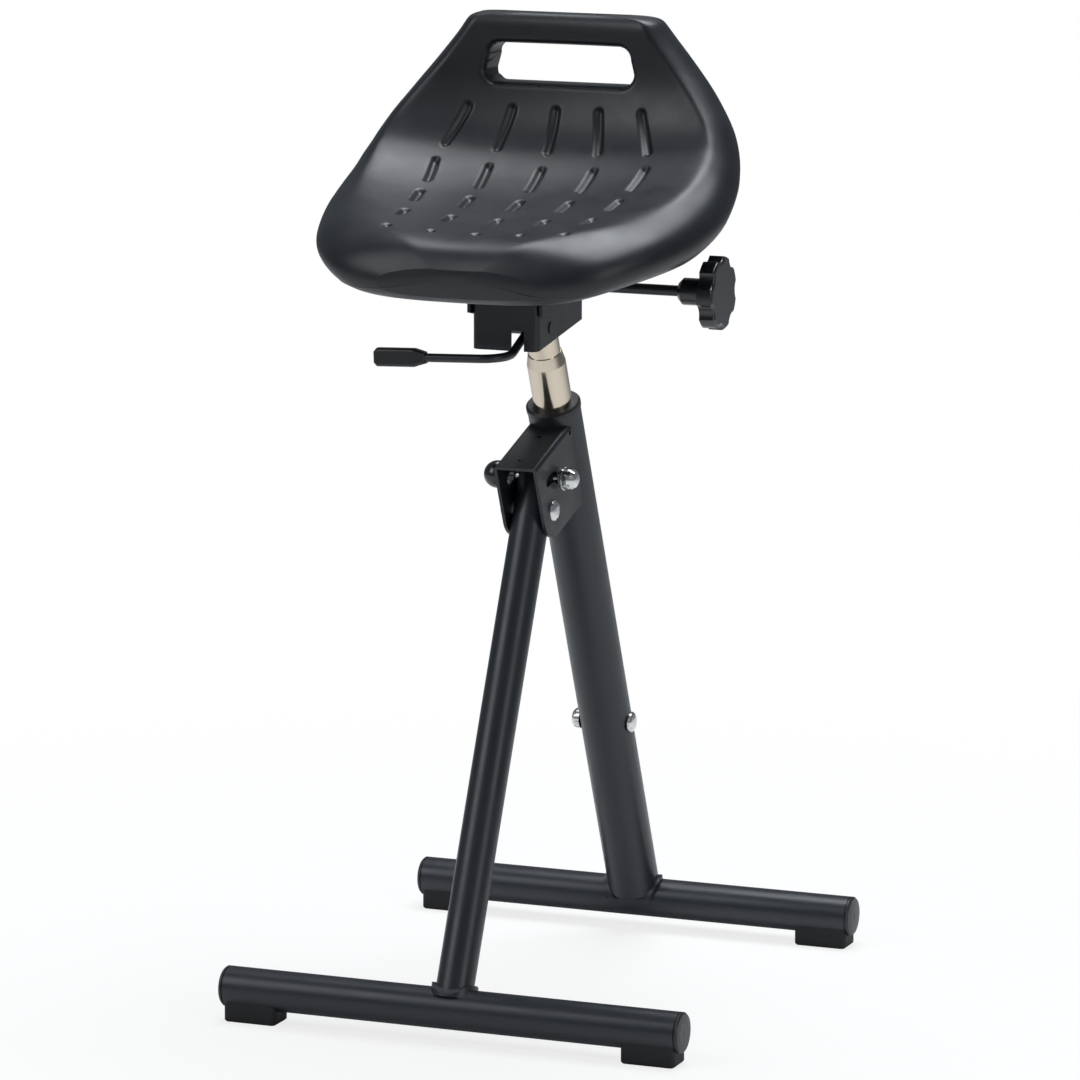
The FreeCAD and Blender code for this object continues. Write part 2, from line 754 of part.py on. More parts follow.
stem_r = Z["button_dia"] * 0.3
cylinder = turned(
    "gas_cylinder",
    (
        (rod_r + Z["running"], Z["cylinder_low"]),
        (cyl_r - 1.0, Z["cylinder_low"]),
        (cyl_r, Z["cylinder_low"] + 2.0),
        (cyl_r, Z["cylinder_top"] - 3.0),
        (cyl_r - 1.5, Z["cylinder_top"]),
        (stem_r + Z["running"], Z["cylinder_top"]),
        (stem_r + Z["running"], Z["cylinder_top"] - 8.0),
        (cyl_bore, Z["cylinder_top"] - 8.0),
        (cyl_bore, Z["cylinder_low"] + Z["cylinder_end"]),
        (rod_r + Z["running"], Z["cylinder_low"] + Z["cylinder_end"]),
    ),
)
on_mast(cylinder)
keep(cylinder)

tube_r = Z["column_od"] / 2
tube_bore = tube_r - Z["column_wall"]
collar_r = cyl_r + Z["seam"]
column = turned(
    "chrome_column",
    (
        (tube_bore, Z["column_low"]),
        (tube_r, Z["column_low"]),
        (tube_r, Z["column_top"] - Z["column_cone"]),
        (collar_r + 1.0, Z["column_top"]),
        (collar_r, Z["column_top"]),
        (collar_r, Z["column_top"] - 14.0),
        (tube_bore, Z["column_top"] - 14.0),
    ),
)
on_mast(column)
keep(column)

button_top = Z["cylinder_top"] + Z["button_rise"]
button = turned(
    "release_button",
    (
        (0, Z["cylinder_top"] - 14.0),
        (stem_r, Z["cylinder_top"] - 14.0),
        (stem_r, button_top - 3.2),
        (Z["button_dia"] / 2, button_top - 3.2),
        (Z["button_dia"] / 2, button_top - 0.8),
        (Z["button_dia"] / 2 - 0.8, button_top),
        (0, button_top),
    ),
)
on_mast(button)
keep(button)

# ---- front leg ----------------------------------------------------------------------------
leg_top = LEG_LENGTH + Z["leg_overrun"]
leg_bore = Z["leg_od"] - 2 * Z["leg_wall"]
leg = new_body("front_leg")
leg_ring = new_sketch(leg, "ring", "XY_Plane", 6.0)
circle(leg_ring, Z["leg_od"])
circle(leg_ring, leg_bore)
pad(leg, leg_ring, leg_top - 6.0)
leg_cope = new_sketch(leg, "cope", "YZ_Plane")
circle(leg_cope, Z["bar_od"] + 2 * Z["seam"])
pocket(leg, leg_cope, Z["leg_od"] * 2)
leg_holes = new_sketch(leg, "holes", "YZ_Plane")
circle(leg_holes, Z["sleeve_od"] + 2 * Z["seam"], 0, LEG_LENGTH)
circle(leg_holes, Z["pin_dia"] + 2 * Z["running"], 0, LEG_LENGTH + Z["slot_radius"])
pocket(leg, leg_holes, Z["leg_od"] * 2)
on_leg(leg)
keep(leg)

sleeve_half = Z["bracket_inner"] / 2 - Z["side_gap"]
sleeve = turned(
    "pivot_sleeve",
    (
        (Z["pivot_dia"] / 2 + Z["running"], -sleeve_half),
        (Z["sleeve_od"] / 2, -sleeve_half),
        (Z["sleeve_od"] / 2, sleeve_half),
        (Z["pivot_dia"] / 2 + Z["running"], sleeve_half),
    ),
)
across(sleeve, PIVOT_Y, PIVOT_Z)
keep(sleeve)

plug_r = leg_bore / 2 - Z["seam"]
lip_r = Z["leg_od"] / 2
plug = turned(
    "leg_plug",
    (
        (0, leg_top - 3.0),
        (plug_r, leg_top - 3.0),
        (plug_r, leg_top),
        (lip_r, leg_top),
        (lip_r, leg_top + 1.4),
        (lip_r - 2.0, leg_top + 3.0),
        (0, leg_top + 3.4),
    ),
)
on_leg(plug)
keep(plug)

# ---- lock pin -----------------------------------------------------------------------------
pin_r = Z["pin_dia"] / 2
knob_start = -CHEEK - Z["side_gap"]
boss_end = knob_start - Z["ball_boss"]
ball_centre = boss_end - Z["ball_dia"] / 2 + 1.5
washer_start = CHEEK + Z["pin_pull"] + Z["side_gap"]
washer_end = washer_start + 2.0
lock_pin = turned(
    "lock_pin",
    (
        (0, ball_centre),
        (pin_r, ball_centre),
        (pin_r, 2.0),
        (Z["pin_collar"] / 2, 2.0),
        (Z["pin_collar"] / 2, 5.0),
        (pin_r, 5.0),
        (pin_r, washer_end + 8.0),
        (pin_r - 0.8, washer_end + 9.0),
        (0, washer_end + 9.0),
    ),
)
across(lock_pin, PIN_Y, PIN_Z)
keep(lock_pin)

washer = turned(
    "lock_washer",
    (
        (pin_r + Z["seam"], washer_start),
        (Z["bolt_head"] / 2 + 1.0, washer_start),
        (Z["bolt_head"] / 2 + 1.0, washer_end),
        (pin_r + Z["seam"], washer_end),
    ),
)
across(washer, PIN_Y, PIN_Z)
keep(washer)
cap_nut("lock_nut", Z["pin_dia"], washer_end, Z["lock_nut_length"], PIN_Y, PIN_Z, True)

ball = doc.addObject("Part::Sphere", "lock_ball")
ball.Radius = Z["ball_dia"].value / 2
ball.setExpression("Radius", (Z["ball_dia"] / 2).text)
place(ball, (0, 0, ball_centre))
boss = rod_solid("lock_boss", Z["ball_dia"] * 0.27, Z["ball_boss"] + 6.0, (0, 0, boss_end - 6.0))
ball_bore = rod_solid("lock_bore", pin_r + Z["seam"], 60.0, (0, 0, ball_centre - Z["seam"]))
ball_whole = boolean("Fuse", "lock_whole", ball, boss)
lock_knob = boolean("Cut", "lock_knob", ball_whole, ball_bore)
lock_knob.Label = "lock_knob"
across(lock_knob, PIN_Y, PIN_Z)
keep(lock_knob)

# ---- housing under the seat ----------------------------------------------------------------
wide = Z["housing_width"]
thin = Z["housing_plate"]
inner_wide = wide - 2 * thin
front = -Z["housing_front"]
rear = Z["housing_rear"]
housing = new_body("seat_housing")
shell = new_sketch(housing, "side", "YZ_Plane")
outline(
    shell,
    (
        (front, Z["housing_low_front"]),
        (rear, Z["housing_low_rear"]),
        (rear, Z["housing_top"]),
        (front, Z["housing_top"]),
    ),
)
full = pad(housing, shell, wide, both=True)
toes = soften(
    housing,
    full,
    6.0,
    lambda e, m: e.BoundBox.ZLength > 20 and abs(m.y - front.value) < 0.1,
)
room = new_sketch(housing, "room", "YZ_Plane")
block(room, front + thin, rear - thin, Z["housing_low_front"] - 20.0, Z["housing_top"] - thin)
pocket(housing, room, inner_wide)
notch = new_sketch(housing, "notch", "XZ_Plane", Z["housing_front"])
block(
    notch,
    Z["lever_x"] - 6.5,
    Z["lever_x"] + 6.5,
    Z["housing_low_front"] - 20.0,
    Z["housing_low_front"] + 19.0,
)
pocket(housing, notch, 20.0)
pins = new_sketch(housing, "pin_holes", "YZ_Plane")
circle(pins, Z["tilt_dia"] + 2 * Z["running"], -Z["tilt_y"], Z["tilt_z"])
circle(pins, Z["lever_pin_dia"] + 2 * Z["seam"], LEVER_Y, LEVER_Z)
pocket(housing, pins, wide * 2)
place(housing, (0, 0, 0))
keep(housing)

socket_r = cyl_r + Z["socket_wall"]
socket = new_body("cylinder_socket")
cup = new_sketch(socket, "cup", "XY_Plane", Z["socket_low"])
circle(cup, 2 * socket_r)
circle(cup, Z["cylinder_od"] + 2 * Z["seam"])
pad(socket, cup, Z["socket_length"])
web = new_sketch(socket, "web", "XY_Plane", Z["socket_low"] + 5.0)
block(web, -inner_wide / 2, inner_wide / 2, -socket_r, socket_r)
circle(web, 2 * socket_r - 2.0)
pad(socket, web, 3.0)
on_mast(socket)
keep(socket)

# ---- release lever -------------------------------------------------------------------------
pin_end = wide / 2
lever_pin_r = Z["lever_pin_dia"] / 2
lever_pin = turned(
    "lever_pin",
    (
        (0, -pin_end - 1.0),
        (lever_pin_r + 1.6, -pin_end - 1.0),
        (lever_pin_r + 1.6, -pin_end),
        (lever_pin_r, -pin_end),
        (lever_pin_r, pin_end),
        (lever_pin_r + 1.6, pin_end),
        (lever_pin_r + 1.6, pin_end + 1.0),
        (0, pin_end + 1.0),
    ),
)
across(lever_pin, LEVER_Y, LEVER_Z)
keep(lever_pin)

sleeve_len = inner_wide / 2 - Z["side_gap"]
lever_bore = lever_pin_r + Z["running"]
lever_sleeve = turned(
    "lever_sleeve",
    (
        (lever_bore, -sleeve_len),
        (Z["lever_sleeve_od"] / 2, -sleeve_len),
        (Z["lever_sleeve_od"] / 2, sleeve_len),
        (lever_bore, sleeve_len),
    ),
)
across(lever_sleeve, LEVER_Y, LEVER_Z)
keep(lever_sleeve)

tongue = new_body("lever_tongue")
blade = new_sketch(tongue, "blade", "XY_Plane", button_top + Z["side_gap"])
block(blade, -12.0, 12.0, -Z["lever_pivot_out"], 8.0)
pad(tongue, blade, 3.0)
round_off = new_sketch(tongue, "round_off", "YZ_Plane")
circle(
    round_off,
    Z["lever_sleeve_od"] + 2 * Z["seam"],
    -Z["lever_pivot_out"],
    Z["lever_pivot_up"],
)
pocket(tongue, round_off, 60.0)
on_mast(tongue)
keep(tongue)


def swept_rod(points, bends, radius):
    """Round rod along straight runs joined by tangent arcs."""
    edges = []
    last = points[0]
    for i in range(1, len(points) - 1):
        a = (points[i - 1] - points[i]).normalize()
        b = (points[i + 1] - points[i]).normalize()
        half_turn = math.acos(max(-1.0, min(1.0, a.dot(b)))) / 2
        trim = bends[i - 1] / math.tan(half_turn)
        enter = points[i] + a * trim
        leave = points[i] + b * trim
        centre = points[i] + (a + b).normalize() * (bends[i - 1] / math.sin(half_turn))
        mid = centre + (points[i] - centre).normalize() * bends[i - 1]
        edges.append(Part.LineSegment(last, enter).toShape())
        edges.append(Part.Arc(enter, mid, leave).toShape())
        last = leave
    edges.append(Part.LineSegment(last, points[-1]).toShape())
    path = Part.Wire(edges)
    start = Part.Wire([Part.Circle(points[0], points[1] - points[0], radius).toShape()])
    return path.makePipeShell([start], True, False)


reach = VEC(Z["lever_x"].value, LEVER_Y.value, LEVER_Z.value)
exit_point = VEC(Z["lever_x"].value, -Z["housing_front"].value - 13.0, Z["lever_low"].value + 0.4)
turn_point = VEC(Z["lever_x"].value, -Z["lever_bend"].value, Z["lever_low"].value)
grip_root = Z["grip_length"].value - Z["grip_end"].value
end_point = VEC(grip_root - 22.0, -Z["lever_bend"].value, Z["lever_low"].value - 3.6)
rod_shape = swept_rod(
    [reach, exit_point, turn_point, end_point],
    [22.0, 20.0],
    Z["lever_rod_dia"].value / 2,
)
socket_cut = Part.makeCylinder(
    Z["lever_sleeve_od"].value / 2 + Z["seam"].value, 60.0, VEC(-20, LEVER_Y.value, LEVER_Z.value), VEC(1, 0, 0)
)
lever_rod = doc.addObject("Part::Feature", "lever_rod")
lever_rod.Label = "lever_rod"
lever_rod.Shape = rod_shape.cut(socket_cut)
lever_rod.Placement = FreeCAD.Placement(VEC(0, 0, 0), ROT())
keep(lever_rod)

grip = new_body("lever_grip")
paddle = new_sketch(grip, "paddle", "XZ_Plane")
grip_len = Z["grip_length"]
tall = Z["grip_height"] / 2
stem = Z["lever_rod_dia"] / 2 + 1.2
outline(
    paddle,
    (
        (0, -stem),
        (0, stem),
        (-grip_len * 0.22, tall),
        (-grip_len * 0.94, tall),
        (-grip_len, tall * 0.6),
        (-grip_len, -tall * 0.6),
        (-grip_len * 0.94, -tall),
        (-grip_len * 0.22, -tall),
    ),
)
paddle_pad = pad(grip, paddle, 11.0, both=True)
soft_paddle = soften(grip, paddle_pad, 3.0, lambda e, m: abs(abs(m.y) - 5.5) < 0.01)
grip_bore = new_sketch(grip, "bore", "YZ_Plane")
circle(grip_bore, Z["lever_rod_dia"] + 2 * Z["seam"])
pocket(grip, grip_bore, 22.0, both=False)
run = end_point - turn_point
droop = math.degrees(math.atan2(-run.z, -run.x))
frac = (grip_root - turn_point.x) / run.x
grip_at = turn_point + run * frac
place(grip, (grip_at.x, grip_at.y, grip_at.z), VEC(0, -1, 0), droop)
keep(grip)

# ---- tilt rod, star knob -------------------------------------------------------------------
tilt_r = Z["tilt_dia"] / 2
ear_in = wide / 2 + Z["ear_gap"]
ear_out = ear_in + Z["ear_plate"]
tilt_rod = turned(
    "tilt_rod",
    (
        (0, -ear_out - 12.0),
        (tilt_r - 0.8, -ear_out - 12.0),
        (tilt_r, 0.8 - ear_out - 12.0),
        (tilt_r, Z["knob_start"] + 20.0),
        (0, Z["knob_start"] + 20.0),
    ),
)
across(tilt_rod, -Z["tilt_y"], Z["tilt_z"])
keep(tilt_rod)

star = new_body("star_knob")
star_back = Z["knob_face"] - Z["knob_thick"]
hub_r = Z["knob_hub"] / 2
hub = turn(
    star,
    (
        (tilt_r + Z["seam"], Z["knob_start"]),
        (hub_r - 4.0, Z["knob_start"]),
        (hub_r, Z["knob_start"] + 4.0),
        (hub_r, star_back + 4.0),
        (0, star_back + 4.0),
        (0, Z["knob_start"] + 20.0 + Z["seam"]),
        (tilt_r + Z["seam"], Z["knob_start"] + 20.0 + Z["seam"]),
    ),
    "hub",
)
disc_sketch = new_sketch(star, "disc", "XY_Plane", star_back)
circle(disc_sketch, Z["knob_dia"])
disc = pad(star, disc_sketch, Z["knob_thick"])
lobe_sketch = new_sketch(star, "scallop", "XY_Plane", star_back + Z["knob_thick"] / 2)
circle(lobe_sketch, Z["knob_dia"] * 0.34, 0, Z["knob_dia"] * 0.61)
scallop = pocket(star, lobe_sketch, Z["knob_thick"] * 2)
lobes = star.newObject("PartDesign::PolarPattern", "star_lobes")
lobes.Originals = [scallop]
lobes.Axis = (lobe_sketch, ["N_Axis"])
lobes.Angle = 360
lobes.Occurrences = 7
star.Tip = lobes
doc.recompute()
rim = soften(
    star,
    lobes,
    3.0,
    lambda e, m: abs(m.z - Z["knob_face"].value) < 0.01 and math.hypot(m.x, m.y) > 20,
)
across(star, -Z["tilt_y"], Z["tilt_z"])
keep(star)

# ---- seat bracket, plate and screws ---------------------------------------------------------
saddle = new_body("seat_bracket")
saddle_side = new_sketch(saddle, "side", "YZ_Plane")
web_top = Z["bracket_lift"] + Z["ear_plate"]
outline(
    saddle_side,
    (
        (front, Z["ear_low"]),
        (front + 14.0, Z["ear_low"] - 3.0),
        (rear, Z["ear_low"] + 8.0),
        (rear, web_top),
        (front, web_top),
    ),
)
saddle_pad = pad(saddle, saddle_side, 2 * ear_out, both=True)
saddle_bend = soften(
    saddle,
    saddle_pad,
    4.0,
    lambda e, m: e.BoundBox.YLength > 30 and abs(m.z - web_top.value) < 0.1,
)
saddle_room = new_sketch(saddle, "room", "YZ_Plane")
block(saddle_room, front - 10.0, rear + 10.0, Z["ear_low"] - 20.0, Z["bracket_lift"])
pocket(saddle, saddle_room, 2 * ear_in)
saddle_hole = new_sketch(saddle, "rod_hole", "YZ_Plane")
circle(saddle_hole, Z["tilt_dia"] + 2 * Z["running"], -Z["tilt_y"], Z["tilt_z"])
pocket(saddle, saddle_hole, wide * 2)
place(saddle, (0, 0, 0))
keep(saddle)

disc_one = turned(
    "tilt_washers_right",
    (
        (tilt_r + Z["running"], wide / 2 + 0.2),
        (12.0, wide / 2 + 0.2),
        (12.0, ear_in),
        (tilt_r + Z["running"], ear_in),
    ),
)
across(disc_one, -Z["tilt_y"], Z["tilt_z"])
keep(mirrored_pair("tilt_washers", disc_one))

tilt_nut = new_body("tilt_nut")
hexagon = new_sketch(tilt_nut, "hexagon", "XY_Plane")
across_corners = Z["tilt_dia"] * 0.98
outline(
    hexagon,
    [
        (across_corners * math.cos(math.radians(60 * k)), across_corners * math.sin(math.radians(60 * k)))
        for k in range(6)
    ],
)
circle(hexagon, Z["tilt_dia"] + 2 * Z["running"])
pad(tilt_nut, hexagon, 8.0)
place(tilt_nut, (-ear_out, -Z["tilt_y"], Z["tilt_z"]), VEC(0, 1, 0), -90)
keep(tilt_nut)

plate = new_body("seat_plate")
plate_sketch = new_sketch(plate, "plan", "XY_Plane")
block(plate_sketch, -Z["plate_half"], Z["plate_half"], -Z["plate_front"], -Z["plate_rear"])
screw_y = (16.0 - Z["plate_front"], -16.0 - Z["plate_rear"])
for side in (-1, 1):
    for y in screw_y:
        circle(plate_sketch, 6.0 + 2 * Z["seam"], side * Z["screw_x"], y)
plate_pad = pad(plate, plate_sketch, Z["plate_thick"])
soften(plate, plate_pad, 8.0, lambda e, m: e.BoundBox.ZLength > 1 and abs(m.x) > Z["plate_half"].value - 0.1)
place(plate, (0, 0, web_top))
keep(plate)

screw_parts = []
for side in (-1, 1):
    for k, y in enumerate(screw_y):
        one = turned(
            "seat_screw_%d%d" % (side + 1, k),
            (
                (0, -4.0),
                (3.6, -3.6),
                (5.6, -2.2),
                (6.2, 0),
                (3.0, 0),
                (3.0, 22.0),
                (0, 23.0),
            ),
        )
        place(one, (side * Z["screw_x"], y, web_top))
        screw_parts.append(one)
screws = doc.addObject("Part::Compound", "seat_screws")
screws.Label = "seat_screws"
screws.Links = screw_parts
keep(screws)

# ---- moulded seat ---------------------------------------------------------------------------
# Stations along the seat from the foot of the front apron up over the pan to the top of
# the carry handle: place of the surface in the middle (y, z), its slope, half width of
# the crest as a share of the largest, drop of the surface below the crest line, outward
# flare, height of the parting line and thickness, then the softness of the crest.
STATIONS = (
    (-226.5, 728.9, 7.0, 0.490, 30.0, 0.55, 38.0, 4.0, 45.0, 0.4),
    (-224.0, 729.2, 7.0, 0.520, 17.0, 0.80, 35.0, 12.0, 50.0, 0.7),
    (-219.0, 729.8, 7.0, 0.555, 7.0, 1.00, 32.0, 18.0, 53.0, 0.9),
    (-210.0, 730.9, 6.9, 0.610, 1.5, 1.15, 30.0, 24.0, 53.5, 1.0),
    (-191.0, 733.0, 5.9, 0.710, 0.0, 1.32, 28.0, 27.0, 52.0, 1.0),
    (-161.0, 736.1, 5.8, 0.825, 0.0, 1.45, 26.0, 28.0, 48.8, 1.0),
    (-121.0, 740.8, 8.2, 0.905, 0.0, 1.50, 24.0, 25.0, 46.0, 1.0),
    (-81.0, 748.5, 14.1, 0.958, 0.0, 1.40, 23.0, 20.0, 44.2, 1.0),
    (-43.0, 761.5, 24.9, 0.990, 0.0, 1.22, 23.0, 14.0, 42.3, 1.0),
    (-17.0, 776.9, 38.3, 0.995, 0.0, 1.07, 23.0, 9.0, 40.5, 1.0),
    (1.0, 793.9, 52.0, 0.972, 0.0, 1.00, 23.0, 7.0, 38.6, 1.0),
    (14.5, 815.5, 64.5, 0.922, 0.0, 0.92, 23.0, 6.0, 36.3, 1.0),
    (23.5, 844.0, 78.5, 0.816, 0.0, 0.76, 22.0, 5.0, 34.5, 1.0),
    (26.0, 875.0, 90.5, 0.680, 0.0, 0.54, 21.0, 5.0, 34.0, 1.0),
    (25.0, 898.0, 93.0, 0.572, 0.0, 0.38, 20.0, 5.0, 34.0, 1.0),
    (24.4, 908.0, 93.0, 0.528, 1.5, 0.34, 19.0, 5.0, 32.5, 0.9),
    (24.1, 913.0, 93.0, 0.492, 4.5, 0.30, 18.0, 5.0, 29.5, 0.7),
    (24.0, 916.0, 93.0, 0.455, 8.5, 0.24, 17.0, 4.0, 25.0, 0.4),
)

seat = new_body("seat_moulding")


def arc_through(start, middle, end):
    """Counter-clockwise arc over three points, whichever end comes first."""
    ring = Part.Arc(start, middle, end).toShape().Curve
    centre = ring.Center
    a0 = math.atan2(start.y - centre.y, start.x - centre.x)
    am = math.atan2(middle.y - centre.y, middle.x - centre.x)
    a1 = math.atan2(end.y - centre.y, end.x - centre.x)
    if (am - a0) % (2 * math.pi) > (a1 - a0) % (2 * math.pi):
        a0, a1 = a1, a0
    while a1 < a0:
        a1 += 2 * math.pi
    return Part.ArcOfCircle(Part.Circle(centre, VEC(0, 0, 1), ring.Radius), a0, a1)


def bulged(start, end, bulge):
    """Arc from start to end that stands out from the chord by bulge."""
    chord = end - start
    out = VEC(-chord.y, chord.x, 0).normalize()
    return arc_through(start, (start + end) * 0.5 + out * bulge, end)


def upright_bulge(end, widest):
    """Bulge of the arc from an end to the widest point, where it runs straight up."""
    across_, along = abs(widest.x - end.x), abs(widest.y - end.y)
    radius = (across_ ** 2 + along ** 2) / (2 * across_)
    chord = math.hypot(across_, along)
    return radius - math.sqrt(max(0.0, radius ** 2 - chord ** 2 / 4))


def seat_section(body, name, station):
    """Cross-section of the seat, square to its middle line, with rounded flanks."""
    y, z, slope, share, lower, flare, drop, tuck, thick, soft = station
    w = Z["seat_half"] * share
    dish = Z["seat_dish"] * w * w / 10000.0 - lower
    flare = Z["seat_flank"] * flare
    scale = Z["seat_depth"] / 46.0
    drop = scale * drop
    thick = scale * thick
    cut_in = Z["crest_round"] * soft
    sketch = body.newObject("Sketcher::SketchObject", body.Name + "_" + name)
    sketch.AttachmentSupport = [(plane_of(body, "XZ_Plane"), "")]
    sketch.MapMode = "FlatFace"
    sketch.AttachmentOffset = FreeCAD.Placement(VEC(0, z, -y), ROT(VEC(1, 0, 0), slope))
    run = root(flare * flare + (drop + dish) * (drop + dish))
    right = (
        (w - cut_in, dish),
        (w + cut_in * flare / run, dish - cut_in * (drop + dish) / run),
        (w + flare, -drop),
        (w + flare - tuck, -thick),
    )
    points = list(right) + [(-x, y) for x, y in reversed(right)]
    flat = [VEC(x.value, y.value, 0) for x, y in points]
    count = len(flat)
    upper, wide_at, foot = flat[1], flat[2], flat[3]
    bulges = {
        0: Z["crest_round"] * 0.24 * soft,
        1: dim(upright_bulge(upper, wide_at)),
        2: dim(upright_bulge(foot, wide_at)),
    }
    bulges[4] = bulges[2]
    bulges[5] = bulges[1]
    bulges[6] = bulges[0]
    bulges[7] = dish + lower
    for i in range(count):
        start = flat[i]
        end = flat[(i + 1) % count]
        if i == 7:
            shape = arc_through(start, VEC(0, -lower, 0), end)
        elif i in bulges:
            shape = bulged(start, end, bulges[i].value)
        else:
            shape = Part.LineSegment(start, end)
        sketch.addGeometry(shape, False)
    ends = []
    for i in range(count):
        first = (sketch.Geometry[i].StartPoint - flat[i]).Length < 1e-6
        ends.append((1, 2) if first else (2, 1))
    for i in range(count):
        nxt = (i + 1) % count
        sketch.addConstraint(Sketcher.Constraint("Coincident", i, ends[i][1], nxt, ends[nxt][0]))
    for i in range(count):
        pin_point(sketch, i, ends[i][0], points[i][0], points[i][1])
    return sketch


sections = [seat_section(seat, "station_%02d" % i, s) for i, s in enumerate(STATIONS)]
pan = seat.newObject("PartDesign::AdditiveLoft", "seat_loft")
pan.Profile = sections[0]
pan.Sections = sections[1:]
pan.Ruled = False
seat.Tip = pan

# Flat boss under the pan that carries the seat plate, let in by the plate's thickness.
rim = 6.0
boss_sketch = new_sketch(seat, "boss", "XY_Plane", web_top + Z["seam"])
block(
    boss_sketch,
    -Z["plate_half"] - rim,
    Z["plate_half"] + rim,
    -Z["plate_front"] - rim,
    rim - Z["plate_rear"],
)
boss_pad = pad(seat, boss_sketch, 22.0)
recess = new_sketch(seat, "recess", "XY_Plane", web_top + Z["plate_thick"])
block(
    recess,
    -Z["plate_half"] - Z["side_gap"],
    Z["plate_half"] + Z["side_gap"],
    -Z["plate_front"] - Z["side_gap"],
    Z["side_gap"] - Z["plate_rear"],
)
pocket(seat, recess, 60.0, both=False, back=False)
screw_holes = new_sketch(seat, "screw_holes", "XY_Plane", web_top + Z["plate_thick"])
for side in (-1, 1):
    for y in screw_y:
        circle(screw_holes, 6.0 + 2 * Z["seam"], side * Z["screw_x"], y)
pocket(seat, screw_holes, 21.0, both=False, back=True)
place(seat, (0, 0, 0))
doc.recompute()


def grip_outline(name, depth, grow):
    """Long hole with rounded ends, upright, at a given distance behind the origin."""
    sketch = new_sketch(seat, name, "XZ_Plane", -dim(depth))
    low = Z["grip_hole_low"] - grow
    high = Z["grip_hole_high"] + grow
    half = Z["grip_hole_half"] + grow
    r = (high - low) / 2
    mid_z = low + r
    x = half - r
    a = sketch.addGeometry(
        Part.ArcOfCircle(
            Part.Circle(VEC(x.value, mid_z.value, 0), VEC(0, 0, 1), r.value), -math.pi / 2, math.pi / 2
        ),
        False,
    )
    b = sketch.addGeometry(
        Part.ArcOfCircle(
            Part.Circle(VEC(-x.value, mid_z.value, 0), VEC(0, 0, 1), r.value), math.pi / 2, 3 * math.pi / 2
        ),
        False,
    )
    top = sketch.addGeometry(
        Part.LineSegment(VEC(x.value, high.value, 0), VEC(-x.value, high.value, 0)), False
    )
    bottom = sketch.addGeometry(
        Part.LineSegment(VEC(-x.value, low.value, 0), VEC(x.value, low.value, 0)), False
    )
    for one, end, other, start in ((a, 2, top, 1), (top, 2, b, 1), (b, 2, bottom, 1), (bottom, 2, a, 1)):
        sketch.addConstraint(Sketcher.Constraint("Tangent", one, end, other, start))
    pin_point(sketch, a, 3, x, mid_z)
    pin_point(sketch, b, 3, -x, mid_z)
    tie(sketch, Sketcher.Constraint("Radius", a, r.value), r)
    sketch.addConstraint(Sketcher.Constraint("Equal", a, b))
    return sketch


grip_mid = grip_outline("grip", 38.0, 0.0)
grip_hole = pocket(seat, grip_mid, 90.0)

# Rows of grooves from the back down to the front: upper end and lower end of a row as
# (y, z) near the surface in the middle, the spread of its columns at both ends and its runs.
ROWS = (
    ((17.0, 828.0), (-3.5, 787.0), 43.0, 50.5, 3),
    ((-15.2, 777.0), (-50.6, 758.3), 52.0, 50.2, 3),
    ((-68.0, 751.6), (-99.6, 745.2), 49.0, 47.5, 2),
    ((-118.9, 741.1), (-144.6, 737.9), 45.8, 45.2, 2),
    ((-176.9, 734.5), (-179.4, 734.3), 43.0, 43.0, 1),
)
half_groove = Z["groove_width"].value / 2
depth = Z["groove_depth"].value
ball = (half_groove ** 2 + depth ** 2) / (2 * depth)


def on_seat(x, y, z, normal):
    """Point of the seat's upper surface on the line along the normal through (x, y, z)."""
    high, deep = VEC(x, y, z) + normal * 60.0, VEC(x, y, z) - normal * 12.0
    inside = Part.LineSegment(high, deep).toShape().common(seat.Shape)
    return min((v.Point for v in inside.Vertexes), key=lambda p: (p - high).Length)


def groove_tool(points, radius):
    """Round channel along the points, closed by balls at its ends and turns."""
    parts = [Part.makeSphere(radius, p) for p in points]
    for a, b in zip(points, points[1:]):
        parts.append(Part.makeCylinder(radius, (b - a).Length, a, b - a))
    return parts[-1].fuse(parts[:-1])


tools = []
for upper, lower, spread_up, spread_low, runs in ROWS:
    along = VEC(0, upper[0] - lower[0], upper[1] - lower[1]).normalize()
    normal = VEC(0, -along.z, along.y)
    for column in range(-2, 3):
        share = Z["seat_half"].value / 168.5
        x0, x1 = column * spread_up * share, column * spread_low * share
        points = []
        for i in range(runs + 1):
            t = i / runs
            y = upper[0] + (lower[0] - upper[0]) * t
            z = upper[1] + (lower[1] - upper[1]) * t
            spot = on_seat(x0 + (x1 - x0) * t, y, z, normal)
            points.append(spot + normal * (ball - depth))
        tools.append(groove_tool(points, ball))
doc.recompute()
seat_shell = doc.addObject("Part::Feature", "seat_shell")
seat_shell.Label = "seat_shell"
seat_shell.Shape = seat.Shape.cut(tools[0].fuse(tools[1:]))
seat_shell.Placement = FreeCAD.Placement(VEC(0, 0, 0), ROT())
keep(seat_shell)

doc.recompute()


def check_all():
    """Every object healthy, every cut removes something, every piece a sound solid."""
    for thing in doc.Objects:
        if "Invalid" in thing.State or "Error" in thing.State:
            raise ValueError("%s is %s" % (thing.Name, thing.State))
    for feature, body in cuts:
        before = feature.BaseFeature.Shape.Volume
        if before - feature.Shape.Volume < 0.01:
            raise ValueError("%s cuts nothing" % feature.Name)
    for thing in kept:
        shape = thing.Shape
        if shape.isNull() or not shape.isValid() or not shape.Solids:
            raise ValueError("%s has no sound shape" % thing.Label)


